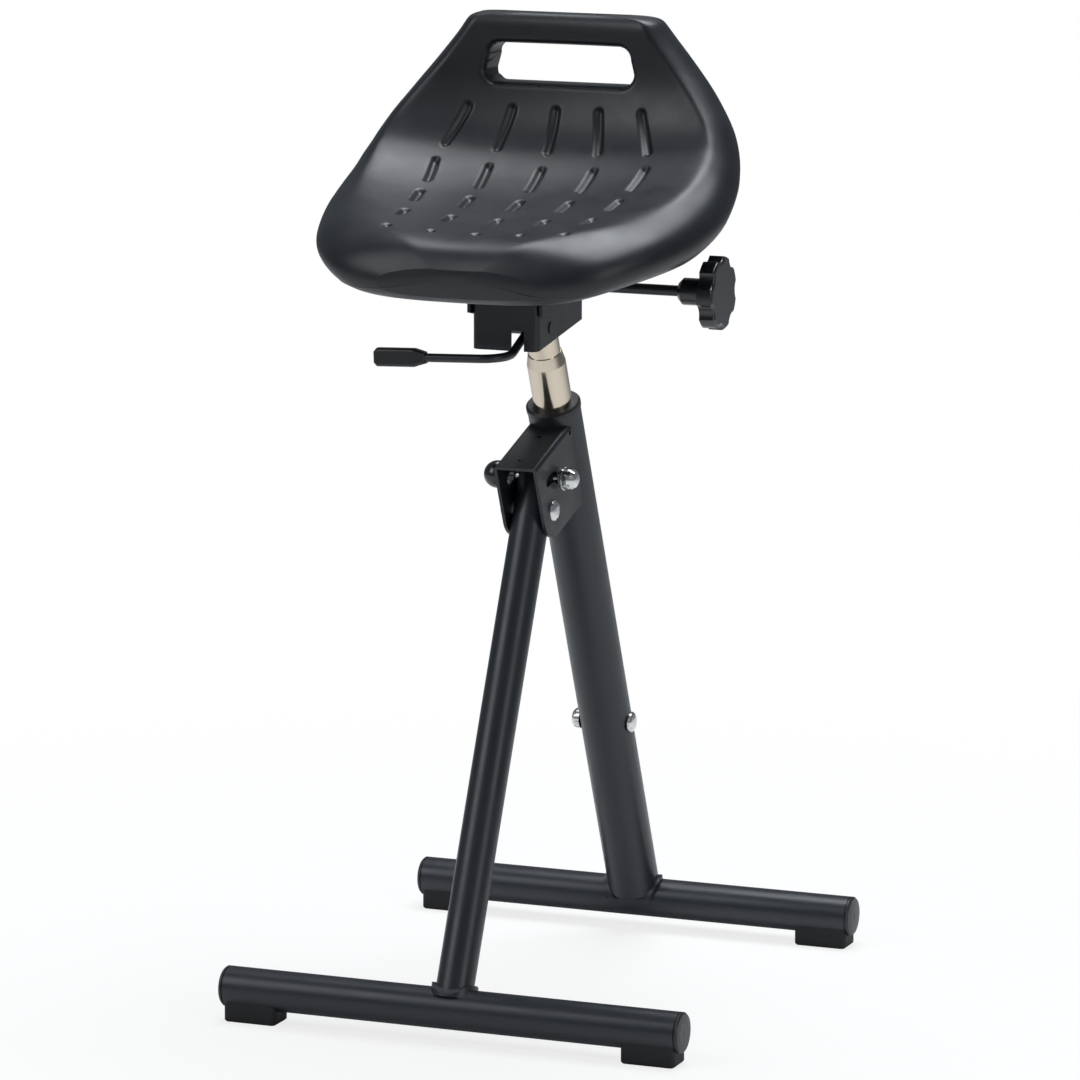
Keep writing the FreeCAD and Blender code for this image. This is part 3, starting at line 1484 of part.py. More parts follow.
check_all()
os.makedirs("parts", exist_ok=True)
for thing in kept:
    thing.Shape.exportStep("parts/%s.step" % thing.Label)
    box = thing.Shape.BoundBox
    print(
        "%-18s %d solid(s) %9.0f mm3  x %.1f %.1f  y %.1f %.1f  z %.1f %.1f"
        % (
            thing.Label,
            len(thing.Shape.Solids),
            thing.Shape.Volume,
            box.XMin,
            box.XMax,
            box.YMin,
            box.YMax,
            box.ZMin,
            box.ZMax,
        )
    )
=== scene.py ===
import math

import bmesh
import bpy
import numpy as np
from mathutils import Matrix, Vector


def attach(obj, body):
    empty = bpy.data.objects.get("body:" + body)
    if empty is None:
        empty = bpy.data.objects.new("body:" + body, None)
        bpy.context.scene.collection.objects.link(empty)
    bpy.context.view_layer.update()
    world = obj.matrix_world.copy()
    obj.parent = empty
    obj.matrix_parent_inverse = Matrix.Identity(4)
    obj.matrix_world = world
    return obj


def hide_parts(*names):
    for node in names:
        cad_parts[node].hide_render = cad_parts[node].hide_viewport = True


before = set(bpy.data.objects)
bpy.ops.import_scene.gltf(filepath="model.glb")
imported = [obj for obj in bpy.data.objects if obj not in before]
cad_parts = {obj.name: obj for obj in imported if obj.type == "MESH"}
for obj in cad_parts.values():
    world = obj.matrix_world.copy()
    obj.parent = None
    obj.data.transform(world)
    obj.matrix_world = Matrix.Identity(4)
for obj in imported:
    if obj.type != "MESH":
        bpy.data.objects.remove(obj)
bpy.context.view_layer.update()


# ---- looks ---------------------------------------------------------------------------------
def socket(tree, name, way, kind, value=None):
    """Adds a named socket to a node group."""
    made = tree.interface.new_socket(name=name, in_out=way, socket_type=kind)
    if value is not None:
        made.default_value = value
    return made


def grain_group():
    """Skin of a coat or a moulding: height = fine noise mixed with coarse noise; the coarse one also gives clouds."""
    tree = bpy.data.node_groups.new("fine_grain", "ShaderNodeTree")
    socket(tree, "Fine scale", "INPUT", "NodeSocketFloat", 1500.0)
    socket(tree, "Coarse scale", "INPUT", "NodeSocketFloat", 180.0)
    socket(tree, "Coarse share", "INPUT", "NodeSocketFloat", 0.3)
    socket(tree, "Height", "OUTPUT", "NodeSocketFloat")
    socket(tree, "Clouds", "OUTPUT", "NodeSocketFloat")
    n, l = tree.nodes, tree.links
    enter, leave = n.new("NodeGroupInput"), n.new("NodeGroupOutput")
    place = n.new("ShaderNodeTexCoord")
    fine, coarse = n.new("ShaderNodeTexNoise"), n.new("ShaderNodeTexNoise")
    fine.inputs["Detail"].default_value = 2.0
    coarse.inputs["Detail"].default_value = 3.0
    for noise, scale in ((fine, "Fine scale"), (coarse, "Coarse scale")):
        l.new(place.outputs["Object"], noise.inputs["Vector"])
        l.new(enter.outputs[scale], noise.inputs["Scale"])
    mix = n.new("ShaderNodeMix")
    l.new(enter.outputs["Coarse share"], mix.inputs["Factor"])
    l.new(fine.outputs["Fac"], mix.inputs["A"])
    l.new(coarse.outputs["Fac"], mix.inputs["B"])
    l.new(mix.outputs["Result"], leave.inputs["Height"])
    l.new(coarse.outputs["Fac"], leave.inputs["Clouds"])
    return tree


def handling_group():
    """Handling marks: a slow noise, stretched from its middle range to run between a low and a high value."""
    tree = bpy.data.node_groups.new("handling", "ShaderNodeTree")
    socket(tree, "Scale", "INPUT", "NodeSocketFloat", 30.0)
    socket(tree, "Low", "INPUT", "NodeSocketFloat", 0.3)
    socket(tree, "High", "INPUT", "NodeSocketFloat", 0.5)
    socket(tree, "Value", "OUTPUT", "NodeSocketFloat")
    n, l = tree.nodes, tree.links
    enter, leave = n.new("NodeGroupInput"), n.new("NodeGroupOutput")
    place, noise, span = n.new("ShaderNodeTexCoord"), n.new("ShaderNodeTexNoise"), n.new("ShaderNodeMapRange")
    noise.inputs["Detail"].default_value = 5.0
    noise.inputs["Roughness"].default_value = 0.6
    l.new(place.outputs["Object"], noise.inputs["Vector"])
    l.new(enter.outputs["Scale"], noise.inputs["Scale"])
    l.new(noise.outputs["Fac"], span.inputs["Value"])
    span.inputs["From Min"].default_value = 0.3
    span.inputs["From Max"].default_value = 0.7
    l.new(enter.outputs["Low"], span.inputs["To Min"])
    l.new(enter.outputs["High"], span.inputs["To Max"])
    l.new(span.outputs["Result"], leave.inputs["Value"])
    return tree


GRAIN, HANDLING = grain_group(), handling_group()
# share by which handling marks move the roughness, and strength of every bump
ROUGH_DOWN, ROUGH_UP, BUMP_STRENGTH, COAT_ROUGHNESS = 0.88, 1.12, 0.6, 0.15


def finish_of(
    name, colour, rough, fine=1500.0, coarse=180.0, share=0.3, height=0.00002,
    metal=0.0, specular=0.5, tint=0.12, coat=0.0, hatch=0.0,
):
    """A finish: colour with slight clouds, roughness that varies a little, and the grain as a bump of the given
    height in metres. Hatch adds fine diagonal ribs to the grain, as in the skin of moulded foam."""
    made = bpy.data.materials.new(name)
    made.use_nodes = True
    n, l = made.node_tree.nodes, made.node_tree.links
    n.clear()
    skin, out = n.new("ShaderNodeBsdfPrincipled"), n.new("ShaderNodeOutputMaterial")
    l.new(skin.outputs["BSDF"], out.inputs["Surface"])
    skin.inputs["Metallic"].default_value = metal
    skin.inputs["Specular IOR Level"].default_value = specular
    skin.inputs["Coat Weight"].default_value = coat
    skin.inputs["Coat Roughness"].default_value = COAT_ROUGHNESS
    grain = n.new("ShaderNodeGroup")
    grain.node_tree = GRAIN
    grain.inputs["Fine scale"].default_value = fine
    grain.inputs["Coarse scale"].default_value = coarse
    grain.inputs["Coarse share"].default_value = share
    marks = n.new("ShaderNodeGroup")
    marks.node_tree = HANDLING
    marks.inputs["Low"].default_value = rough * ROUGH_DOWN
    marks.inputs["High"].default_value = min(1.0, rough * ROUGH_UP)
    l.new(marks.outputs["Value"], skin.inputs["Roughness"])
    shade = n.new("ShaderNodeMix")
    shade.data_type = "RGBA"
    shade.inputs["A"].default_value = tuple(c * (1 - tint) for c in colour) + (1,)
    shade.inputs["B"].default_value = tuple(min(1, c * (1 + tint)) for c in colour) + (1,)
    l.new(grain.outputs["Clouds"], shade.inputs["Factor"])
    l.new(shade.outputs["Result"], skin.inputs["Base Color"])
    bump = n.new("ShaderNodeBump")
    bump.inputs["Strength"].default_value = BUMP_STRENGTH
    bump.inputs["Distance"].default_value = height
    l.new(grain.outputs["Height"], bump.inputs["Height"])
    if hatch:
        place, wave, more = n.new("ShaderNodeTexCoord"), n.new("ShaderNodeTexWave"), n.new("ShaderNodeMath")
        wave.bands_direction = "DIAGONAL"
        wave.inputs["Scale"].default_value = 200.0
        wave.inputs["Distortion"].default_value = 1.2
        wave.inputs["Detail"].default_value = 2.0
        wave.inputs["Detail Scale"].default_value = 2.0
        more.operation = "MULTIPLY_ADD"
        more.inputs[1].default_value = hatch
        l.new(place.outputs["Object"], wave.inputs["Vector"])
        l.new(wave.outputs["Fac"], more.inputs[0])
        l.new(grain.outputs["Height"], more.inputs[2])
        l.new(more.outputs["Value"], bump.inputs["Height"])
    l.new(bump.outputs["Normal"], skin.inputs["Normal"])
    return made


coat = finish_of(
    "black_powder_coat", (0.0125, 0.0155, 0.021), 0.36, fine=1400.0, coarse=260.0, share=0.35,
    height=0.00006,
)
coat_sheet = finish_of(
    "black_coated_sheet", (0.0105, 0.012, 0.0155), 0.40, fine=1400.0, coarse=260.0, share=0.35,
    height=0.00006,
)
cap_plastic = finish_of(
    "cap_plastic", (0.010, 0.0105, 0.012), 0.42, fine=2600.0, coarse=500.0, height=0.00004,
)
knob_plastic = finish_of(
    "knob_plastic", (0.008, 0.0085, 0.0105), 0.24, fine=700.0, coarse=120.0, height=0.00002,
    coat=0.3,
)
grip_plastic = finish_of(
    "grip_plastic", (0.0085, 0.009, 0.010), 0.38, fine=2200.0, coarse=400.0, height=0.00005,
)
pad_rubber = finish_of(
    "pad_rubber", (0.0095, 0.0095, 0.010), 0.62, fine=1800.0, coarse=300.0, height=0.0001,
    specular=0.35,
)
zinc = finish_of(
    "zinc_plate", (0.66, 0.665, 0.66), 0.2, fine=900.0, coarse=90.0, height=0.000003, metal=1.0,
    tint=0.08,
)
steel = finish_of(
    "bright_steel", (0.60, 0.61, 0.62), 0.30, fine=1400.0, coarse=200.0, height=0.00002, metal=1.0,
    tint=0.06,
)
chrome = finish_of(
    "column_chrome", (0.66, 0.575, 0.465), 0.16, fine=240.0, coarse=40.0, height=0.00001,
    metal=1.0, tint=0.03,
)
foam_skin = finish_of(
    "foam_skin", (0.0055, 0.007, 0.010), 0.40, fine=900.0, coarse=60.0, height=0.00009,
    specular=0.5, hatch=0.5,
)

LOOKS = {
    coat: ("rear_floor_bar", "front_floor_bar", "mast_tube", "front_leg", "mast_weld", "leg_weld"),
    coat_sheet: (
        "hinge_bracket", "seat_housing", "cylinder_socket", "seat_bracket", "seat_plate",
        "lever_sleeve", "lever_tongue", "lever_rod", "tilt_rod", "lever_pin",
    ),
    cap_plastic: ("rear_end_caps", "front_end_caps", "leg_plug", "guide_bush"),
    knob_plastic: ("star_knob", "lock_knob"),
    grip_plastic: ("lever_grip",),
    pad_rubber: ("rear_foot_pads", "front_foot_pads"),
    zinc: (
        "cross_bolt", "cross_nut", "pivot_bolt", "pivot_nut", "lock_nut", "lock_washer", "tilt_nut",
        "tilt_washers", "seat_screws",
    ),
    steel: ("piston", "pivot_sleeve", "lock_pin", "release_button", "piston_rod"),
    chrome: ("chrome_column", "gas_cylinder"),
        foam_skin: ("seat_shell",),
}
for look, names in LOOKS.items():
    for name in names:
        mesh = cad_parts[name].data
        mesh.materials.clear()
        mesh.materials.append(look)


# ---- foam seat -----------------------------------------------------------------------------
# all in millimetres: half width, dish per 100 mm squared, flank and crest
HALF, DISH, FLANK, CREST = 168.5, 6.3, 17.0, 9.0
# one row per section, from the nose to the top: place (y, z) and slope in degrees of the middle line, share of the
# half width, lowering of the top, flank, drop of the widest point, tuck of the foot, thickness, crest
STATIONS = np.array([
    (-231.0, 728.3, 7, 0.400, 27, 1.60, 38, 14, 49, 2.0),
    (-227.5, 728.7, 7, 0.480, 16.5, 1.62, 35, 22, 54, 2.3),
    (-221.5, 729.4, 7, 0.550, 7, 1.66, 31, 30, 57, 2.4),
    (-211, 730.8, 6.9, 0.624, 1.5, 1.76, 28, 38, 57.5, 2.4),
    (-191, 733, 5.9, 0.728, 0, 1.88, 26, 44, 55, 2.2),
    (-161, 736.1, 5.8, 0.836, 0, 1.95, 23, 48, 51, 1.7),
    (-121, 740.8, 8.2, 0.914, 0, 1.84, 20, 49, 47, 1.3),
    (-81, 748.5, 14.1, 0.966, 0, 1.62, 17, 50, 45, 1),
    (-43, 761.5, 24.9, 1.000, 0, 1.36, 17, 46, 43, 1),
    (-17, 776.9, 38.3, 1.006, 0, 1.13, 18, 40, 41, 1),
    (1, 793.9, 52, 0.985, 0, 1.00, 19, 32, 39, 1),
    (14.5, 815.5, 64.5, 0.934, 0, 0.90, 21, 24, 36.5, 1),
    (23.5, 844, 78.5, 0.822, 0, 0.75, 22, 16, 34.5, 1),
    (26, 874, 90.5, 0.682, 0, 0.54, 21, 12, 34, 1),
    (25, 897, 93, 0.578, 0, 0.40, 20, 10, 34, 1),
    (24.4, 906.5, 93, 0.540, 1, 0.37, 19, 9, 32.5, 0.9),
    (24.1, 911.2, 93, 0.522, 3.2, 0.33, 18, 8, 30, 0.7),
    (24, 914, 93, 0.505, 6.5, 0.28, 17, 7, 27, 0.4),
], float)
# rows of finger grooves: upper end (y, z), lower end (y, z), spread of the columns at either end
GROOVES = (
    ((16.2, 826), (-1.5, 790), 43, 50.3),
    ((-20.5, 774.3), (-47.5, 759.4), 52, 50.2),
    ((-71.5, 750.8), (-92.5, 746.3), 49, 47.8),
    ((-122.5, 740.6), (-137.5, 738.7), 45.8, 45.2),
    ((-177.2, 734.5), (-179.0, 734.3), 43, 43),
)
GROOVE_COLUMNS = (-2, -1, 0, 1, 2)
GROOVE_RADIUS, GROOVE_DEPTH, GROOVE_FULLNESS, GROOVE_STEPS = 5.4, 3.4, 0.8, 9
PARTING_HEIGHT = 0.4
FRONT_SOFTNESS, BACK_SOFTNESS, SOFTENING_STEPS = 0.8, 0.06, 210
# softening starts here (y) and is full this much further forward
SOFT_FROM, SOFT_REACH = -60, 130
# carry hole: lower and upper edge, half width at either, corner radius, rounding of the rim
HOLE_LOW, HOLE_HIGH = 849.5, 886.5
HOLE_HALF_LOW, HOLE_HALF_HIGH = 77.0, 67.0
HOLE_CORNER, HOLE_RIM = 12.0, 5.5
HOLE_LEAN = (HOLE_HALF_LOW - HOLE_HALF_HIGH) / (HOLE_HIGH - HOLE_LOW)
# height from which the seat stands upright
UPRIGHT_FROM = 820
# sections along the seat, and columns over half its top: close together where grooves and hole ends lie
SECTIONS, CLOSE_REACH, TOP_REACH = 298, 112, 159.5
TOP_COLUMNS = np.concatenate((
    np.linspace(0, 6.5, 8)[:-1],
    np.linspace(6.5, 36, 10)[:-1],
    np.linspace(36, CLOSE_REACH, 62)[:-1],
    np.linspace(CLOSE_REACH, TOP_REACH, 14),
))
# parts of the lower flank's quarter turn, close together at the parting line, and that line's column among them
LOWER_FLANK = np.concatenate((np.linspace(0, 0.36, 7)[1:], np.linspace(0.40, 0.52, 6), np.linspace(0.58, 1, 9)))
PARTING_COLUMN = 9
FLANK_POINTS, CREST_POINTS, SOLE_POINTS = 16, 12, 15
# crest: pull of its end tangents, and how much further in it starts at the nose
CREST_PULL, NOSE_CREST, NOSE_CREST_SPAN = 1.25, 1.3, 1.3
# a top narrower than this has its columns squeezed
FULL_EDGE = 120.0
# sizes of the rings that close either end, as shares of the end's outline
CAP_RINGS = (0.9, 0.78, 0.64, 0.48, 0.3, 0.12)
# mounting boss and recess: outline (x, x, y, y, corner), then lower and upper end
BOSS, BOSS_SPAN = (-94, 94, -156, -28, 10), (704.02, 727.5)
RECESS, RECESS_SPAN = (-88.3, 88.3, -150.3, -33.7, 8), (650.0, 707.05)
HOLE_SPAN = (-40.0, 110.0)
# edges that meet at more than this, in degrees, are shaded sharp
SHARP_ANGLE = 48


def middle_line(count):
    """Middle line of the seat and its section values: cubic Hermite spans along the chord length, with the slopes
    given for the line and limited slopes, the harmonic mean of both neighbours, for the values."""
    y, z, slope = STATIONS[:, 0], STATIONS[:, 1], np.radians(STATIONS[:, 2])
    run = np.hypot(np.diff(y), np.diff(z))
    s = np.concatenate(([0], np.cumsum(run)))
    q = np.linspace(0, s[-1], count)
    k = np.clip(np.searchsorted(s, q, side="right") - 1, 0, len(s) - 2)
    t, d = (q - s[k]) / run[k], run[k]
    a0, b0, a1, b1 = 2 * t**3 - 3 * t**2 + 1, t**3 - 2 * t**2 + t, -2 * t**3 + 3 * t**2, t**3 - t**2

    def span(value, grade):
        return a0 * value[k] + b0 * d * grade[k] + a1 * value[k + 1] + b1 * d * grade[k + 1]

    def even(value):
        step = np.diff(value) / run
        grade = np.zeros(len(value))
        left, right = step[:-1], step[1:]
        grade[1:-1] = np.where(left * right > 0, 2 * left * right / (left + right + 1e-12), 0)
        grade[0], grade[-1] = step[0], step[-1]
        return span(value, grade)

    values = [even(column) for column in STATIONS[:, 3:].T]
    return span(y, np.cos(slope)), span(z, np.sin(slope)), even(slope), values


def section_loops(values):
    """Outline of every section at once: a parabola for the dished top, a cubic for the crest, a circular arc out to
    the widest point, a quarter of an ellipse back in to the foot, and a flat sole. One half is worked out from the
    middle of the top to the middle of the sole, and mirrored. Also gives the two columns of the parting line."""
    share, lower, flare, drop, tuck, thick, soft = (v[:, None] for v in values)
    w = HALF * share
    dish = DISH * w * w / 1e4 - lower
    flare, cut = FLANK * flare, CREST * soft
    nose = np.clip((soft - 1) / NOSE_CREST_SPAN, 0, 1)
    edge = w - cut * (1 + NOSE_CREST * nose)
    shrink = np.minimum(1, edge / FULL_EDGE)
    column = TOP_COLUMNS[None]
    reach = CLOSE_REACH * shrink
    beyond = reach + (column - CLOSE_REACH) / (TOP_REACH - CLOSE_REACH) * (edge - reach)
    x = np.where(column <= CLOSE_REACH, column * shrink, beyond)
    top = np.stack((x, DISH * x * x / 1e4 - lower), -1)
    run = np.hypot(flare, drop + dish)
    start_slope = 2 * DISH * edge / 1e4
    p0 = np.concatenate((edge, DISH * edge**2 / 1e4 - lower), 1)
    p3 = np.concatenate((w + cut * flare / run, dish - cut * (drop + dish) / run), 1)
    wide = np.concatenate((w + flare, -drop), 1)
    foot = np.concatenate((w + flare - tuck, -thick), 1)
    dx, dy = wide[:, :1] - p3[:, :1], p3[:, 1:] - wide[:, 1:]
    r = (dx * dx + dy * dy) / (2 * np.maximum(dx, 0.5))
    turn = np.arcsin(np.minimum(1, dy / r))
    a = turn * np.linspace(1, 0, FLANK_POINTS)[None]
    flank = np.stack((wide[:, :1] - r + r * np.cos(a), wide[:, 1:] + r * np.sin(a)), -1)
    # crest: cubic from the top's slope to the flank's slope
    u = np.linspace(0, 1, CREST_POINTS)[None, 1:-1, None]
    gap = np.hypot(p3[:, :1] - p0[:, :1], p3[:, 1:] - p0[:, 1:])
    m0 = np.concatenate((np.ones_like(edge), start_slope), 1) * gap
    m1 = np.concatenate((np.sin(turn), -np.cos(turn)), 1) * gap
    p0, p3, m0, m1 = p0[:, None], p3[:, None], m0[:, None], m1[:, None]
    ends = (2 * u**3 - 3 * u**2 + 1) * p0 + (3 * u**2 - 2 * u**3) * p3
    crest = ends + CREST_PULL * ((u**3 - 2 * u**2 + u) * m0 + (u**3 - u**2) * m1)
    quarter = math.pi / 2 * LOWER_FLANK[None]
    inward, downward = tuck * (1 - np.cos(quarter)), (thick - drop) * np.sin(quarter)
    under = np.stack((wide[:, :1] - inward, wide[:, 1:] - downward), -1)
    sole_x = foot[:, :1] * np.linspace(1, 0, SOLE_POINTS)[None, 1:]
    sole = np.stack((sole_x, np.broadcast_to(-thick, sole_x.shape)), -1)
    half = np.concatenate((top, crest, flank, under, sole), 1)
    back = half[:, -2:0:-1] * np.array((-1, 1))
    parting = top.shape[1] + crest.shape[1] + flank.shape[1] + PARTING_COLUMN
    whole = np.concatenate((half, back), 1)
    return whole, (parting, whole.shape[1] - parting)


def capped(grid):
    """Adds rings at both ends of the grid that shrink towards the end's middle, so that softening rounds them too."""
    step = np.array(CAP_RINGS)[:, None, None]
    rings = [grid[end].mean(0) + (grid[end] - grid[end].mean(0)) * step for end in (0, -1)]
    return np.concatenate((rings[0][::-1], grid, rings[1]), 0)


def softened(grid):
    """Moves each point towards the mean of its four neighbours many times: strongly at the nose, hardly at the back."""
    weight = np.clip((SOFT_FROM - grid[..., 1:2]) / SOFT_REACH, 0, 1)
    weight = BACK_SOFTNESS + (FRONT_SOFTNESS - BACK_SOFTNESS) * weight * weight * (3 - 2 * weight)
    for _ in range(SOFTENING_STEPS):
        ends = np.concatenate((grid[:1], grid, grid[-1:]), 0)
        mean = (ends[:-2] + ends[2:] + np.roll(grid, 1, 1) + np.roll(grid, -1, 1)) / 4
        grid = grid + weight * (mean - grid)
    return grid


def outward_normals(grid):
    """Unit normals of the grid: the cross product of the steps along and around it, turned up on the pan's top."""
    around = (np.roll(grid, -1, 1) - np.roll(grid, 1, 1)) / 2
    normal = np.cross(np.gradient(grid, axis=0), around)
    normal /= np.linalg.norm(normal, axis=-1, keepdims=True) + 1e-12
    return -normal if normal[40, 0, 2] < 0 else normal


def groove_depth(grid, upper):
    """How far each point of the top is lowered by the grooves: a cosine bell of the distance to the nearest groove's
    line, which follows the surface from the groove's lower end to its upper one."""
    middle, low = grid[:, 0], np.zeros(grid.shape[:2])
    for top_end, low_end, spread_up, spread_low in GROOVES:
        first, last = (
            np.argmin(np.hypot(middle[:, 1] - end[0], middle[:, 2] - end[1])) for end in (low_end, top_end)
        )
        rows = np.linspace(first, last, GROOVE_STEPS).astype(int)
        for column in GROOVE_COLUMNS:
            across = column * np.linspace(spread_low, spread_up, GROOVE_STEPS)
            nearest = np.argmin(np.abs(grid[rows, : len(TOP_COLUMNS), 0] - np.abs(across)[:, None]), 1)
            path = grid[rows, nearest]
            path[:, 0] = across
            away = np.full(grid.shape[:2], 1e9)
            for a, b in zip(path[:-1], path[1:]):
                line = b - a
                t = np.clip(((grid - a) @ line) / max(line @ line, 1e-9), 0, 1)
                away = np.minimum(away, np.linalg.norm(grid - a - t[..., None] * line, axis=-1))
            bell = 0.5 + 0.5 * np.cos(math.pi * np.minimum(1, away / GROOVE_RADIUS))
            low = np.maximum(low, GROOVE_DEPTH * np.where(upper, bell**GROOVE_FULLNESS, 0))
    return low


def foam_grid():
    """Seat surface: every section is carried along the middle line, square to it. The softened grid is then lowered
    along its normals by the grooves and by the carry hole's rounded rim, and raised at the parting line."""
    y, z, slope, values = middle_line(SECTIONS)
    loops, parting = section_loops(values)
    sn, cs = np.sin(slope)[:, None], np.cos(slope)[:, None]
    across, lift = loops[..., 0], loops[..., 1]
    grid = softened(capped(np.stack((across, y[:, None] - sn * lift, z[:, None] + cs * lift), -1)))
    normal = outward_normals(grid)
    low = groove_depth(grid, normal[..., 2] - normal[..., 1] > 0.45)
    rim = np.clip(1 - hole_distance(grid[..., 0], grid[..., 2]) / HOLE_RIM, 0, 1)
    on_faces = (grid[..., 2] > UPRIGHT_FROM) & (np.abs(normal[..., 1]) > 0.5)
    low = low + np.where(on_faces, HOLE_RIM * (1 - np.sqrt(1 - rim**2)), 0)
    low[:, list(parting)] -= PARTING_HEIGHT
    return grid - normal * low[..., None]


def hole_distance(x, z):
    """Distance in the upright's plane to the carry hole's outline, a trapezoid with rounded corners; below 0 inside."""
    inner_low, inner_high = HOLE_LOW + HOLE_CORNER, HOLE_HIGH - HOLE_CORNER
    half = HOLE_HALF_LOW - HOLE_CORNER - HOLE_LEAN * (np.clip(z, inner_low, inner_high) - HOLE_LOW)
    dx = np.maximum(np.abs(x) - half, 0)
    dz = np.maximum(np.maximum(inner_low - z, z - inner_high), 0)
    return np.hypot(dx, dz) - HOLE_CORNER


def closed_mesh(name, grid):
    """Mesh of a grid of loops, closed round and by a point in the middle of either end, in metres."""
    count, around = grid.shape[:2]
    points = np.concatenate((grid.reshape(-1, 3), grid[0].mean(0)[None], grid[-1].mean(0)[None])) / 1000.0
    i, j = np.meshgrid(np.arange(count - 1), np.arange(around), indexing="ij")
    k = (j + 1) % around
    quads = np.stack((i * around + j, (i + 1) * around + j, (i + 1) * around + k, i * around + k), -1)
    quads = quads.reshape(-1, 4)
    ring = np.arange(around)
    after = (ring + 1) % around
    pole, final = np.full(around, count * around), (count - 1) * around
    first = np.stack((pole, ring, after), -1)
    last = np.stack((pole + 1, final + after, final + ring), -1)
    mesh = bpy.data.meshes.new(name)
    mesh.from_pydata(points.tolist(), [], quads.tolist() + first.tolist() + last.tolist())
    mesh.validate()
    return mesh


def outward(mesh):
    """Turns every face outwards."""
    shape = bmesh.new()
    shape.from_mesh(mesh)
    bmesh.ops.recalc_face_normals(shape, faces=shape.faces)
    shape.to_mesh(mesh)
    shape.free()


def prism(name, outline, start, end, axis):
    """A closed prism: an outline carried from start to end along an axis, 1 for depth or 2 for height."""
    outline = np.asarray(outline, float)
    count = len(outline)

    def layer(at):
        rows = np.zeros((count, 3))
        rows[:, 0] = outline[:, 0]
        rows[:, 3 - axis] = outline[:, 1]
        rows[:, axis] = at
        return rows

    points = np.concatenate((layer(start), layer(end))) / 1000.0
    ring = np.arange(count)
    after = (ring + 1) % count
    sides = np.stack((ring, after, after + count, ring + count), -1).tolist()
    mesh = bpy.data.meshes.new(name)
    mesh.from_pydata(points.tolist(), [], sides + [ring.tolist()[::-1], (ring + count).tolist()])
    outward(mesh)
    made = bpy.data.objects.new(name, mesh)
    bpy.context.scene.collection.objects.link(made)
    return made


def rounded_outline(x_low, x_high, y_low, y_high, radius, steps=6):
    """A rectangle with rounded corners, as points."""
    turn = np.linspace(0, math.pi / 2, steps)
    corners = ((x_high, y_high, 0), (x_low, y_high, 1), (x_low, y_low, 2), (x_high, y_low, 3))
    parts = []
    for x, y, quarter in corners:
        cx = x - radius if quarter in (0, 3) else x + radius
        cy = y - radius if quarter in (0, 1) else y + radius
        angle = turn + quarter * math.pi / 2
        parts.append(np.stack((cx + radius * np.cos(angle), cy + radius * np.sin(angle)), -1))
    return np.concatenate(parts)


def hole_outline(steps=14):
    """The carry hole's outline: four corner arcs on the trapezoid."""
    inner_low, inner_high = HOLE_LOW + HOLE_CORNER, HOLE_HIGH - HOLE_CORNER
    parts = []
    for quarter, sx, z in ((0, 1, inner_high), (1, -1, inner_high), (2, -1, inner_low), (3, 1, inner_low)):
        half = HOLE_HALF_LOW - HOLE_CORNER - HOLE_LEAN * (z - HOLE_LOW)
        angle = np.linspace(0, math.pi / 2, steps) + quarter * math.pi / 2
        parts.append(np.stack((sx * half + HOLE_CORNER * np.cos(angle), z + HOLE_CORNER * np.sin(angle)), -1))
    return np.concatenate(parts)


def combine(piece, other, way):
    """Joins or cuts with another closed mesh, exactly, and leaves no modifier."""
    step = piece.modifiers.new(way.lower(), "BOOLEAN")
    step.operation, step.solver, step.object = way, "EXACT", other
    bpy.context.view_layer.update()
    made = bpy.data.meshes.new_from_object(piece.evaluated_get(bpy.context.evaluated_depsgraph_get()))
    piece.modifiers.clear()
    old = piece.data
    piece.data = made
    bpy.data.meshes.remove(old)
    tool = other.data
    bpy.data.objects.remove(other)
    bpy.data.meshes.remove(tool)


def foam_seat():
    """The moulded seat: the foam surface, its mounting boss and recess below, and the carry hole through the back."""
    mesh = closed_mesh("foam_seat", foam_grid())
    outward(mesh)
    piece = bpy.data.objects.new("foam_seat", mesh)
    bpy.context.scene.collection.objects.link(piece)
    combine(piece, prism("boss_block", rounded_outline(*BOSS), *BOSS_SPAN, 2), "UNION")
    combine(piece, prism("recess_block", rounded_outline(*RECESS), *RECESS_SPAN, 2), "DIFFERENCE")
    combine(piece, prism("hole_block", hole_outline(), *HOLE_SPAN, 1), "DIFFERENCE")
    mesh = piece.data
    mesh.name = "foam_seat"
    mesh.polygons.foreach_set("use_smooth", np.ones(len(mesh.polygons), bool))
    mesh.set_sharp_from_angle(angle=math.radians(SHARP_ANGLE))
    mesh.materials.clear()
    mesh.materials.append(foam_skin)
    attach(piece, "seat")
    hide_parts("seat_shell")


foam_seat()


# ---- stage, light and camera ---------------------------------------------------------------
FLOOR_HALF, FLOOR_PAINT = 30.0, (0.82, 0.82, 0.82, 1)
# share of plain white that the eye sees in the floor: near the stool, and from some way off
FLOOR_GLOW = (("From Min", 0.35), ("From Max", 1.5), ("To Min", 0.78), ("To Max", 1.0))
SKY_COLOUR, SKY_STRENGTH = (0.86, 0.93, 1.0, 1), 0.20
# soft lamps: name, place, aim, width, height, power, colour
LAMPS = (
    ("key_left", (-2.2, -2.6, 2.6), (0, 0, 0.5), 1.8, 2.2, 40.0, (0.94, 0.97, 1.0)),
    ("overhead", (0.2, 0.6, 3.4), (0, 0, 0.6), 2.4, 2.0, 120.0, (0.94, 0.97, 1.0)),
    ("fill_right", (3.0, -1.6, 1.4), (0, 0, 0.5), 1.2, 2.2, 16.0, (1, 1, 1)),
)
# camera: turn to the stool's left, height of view and roll in degrees, aim, distance, lens
CAMERA_TURN, CAMERA_RISE, CAMERA_ROLL = 21.789, 10.316, 0.096
AIM_HEIGHT, AIM_ASIDE, CAMERA_DISTANCE = 0.42486, -0.00749, 5.63502
LENS, SENSOR = 200.78, 36.0


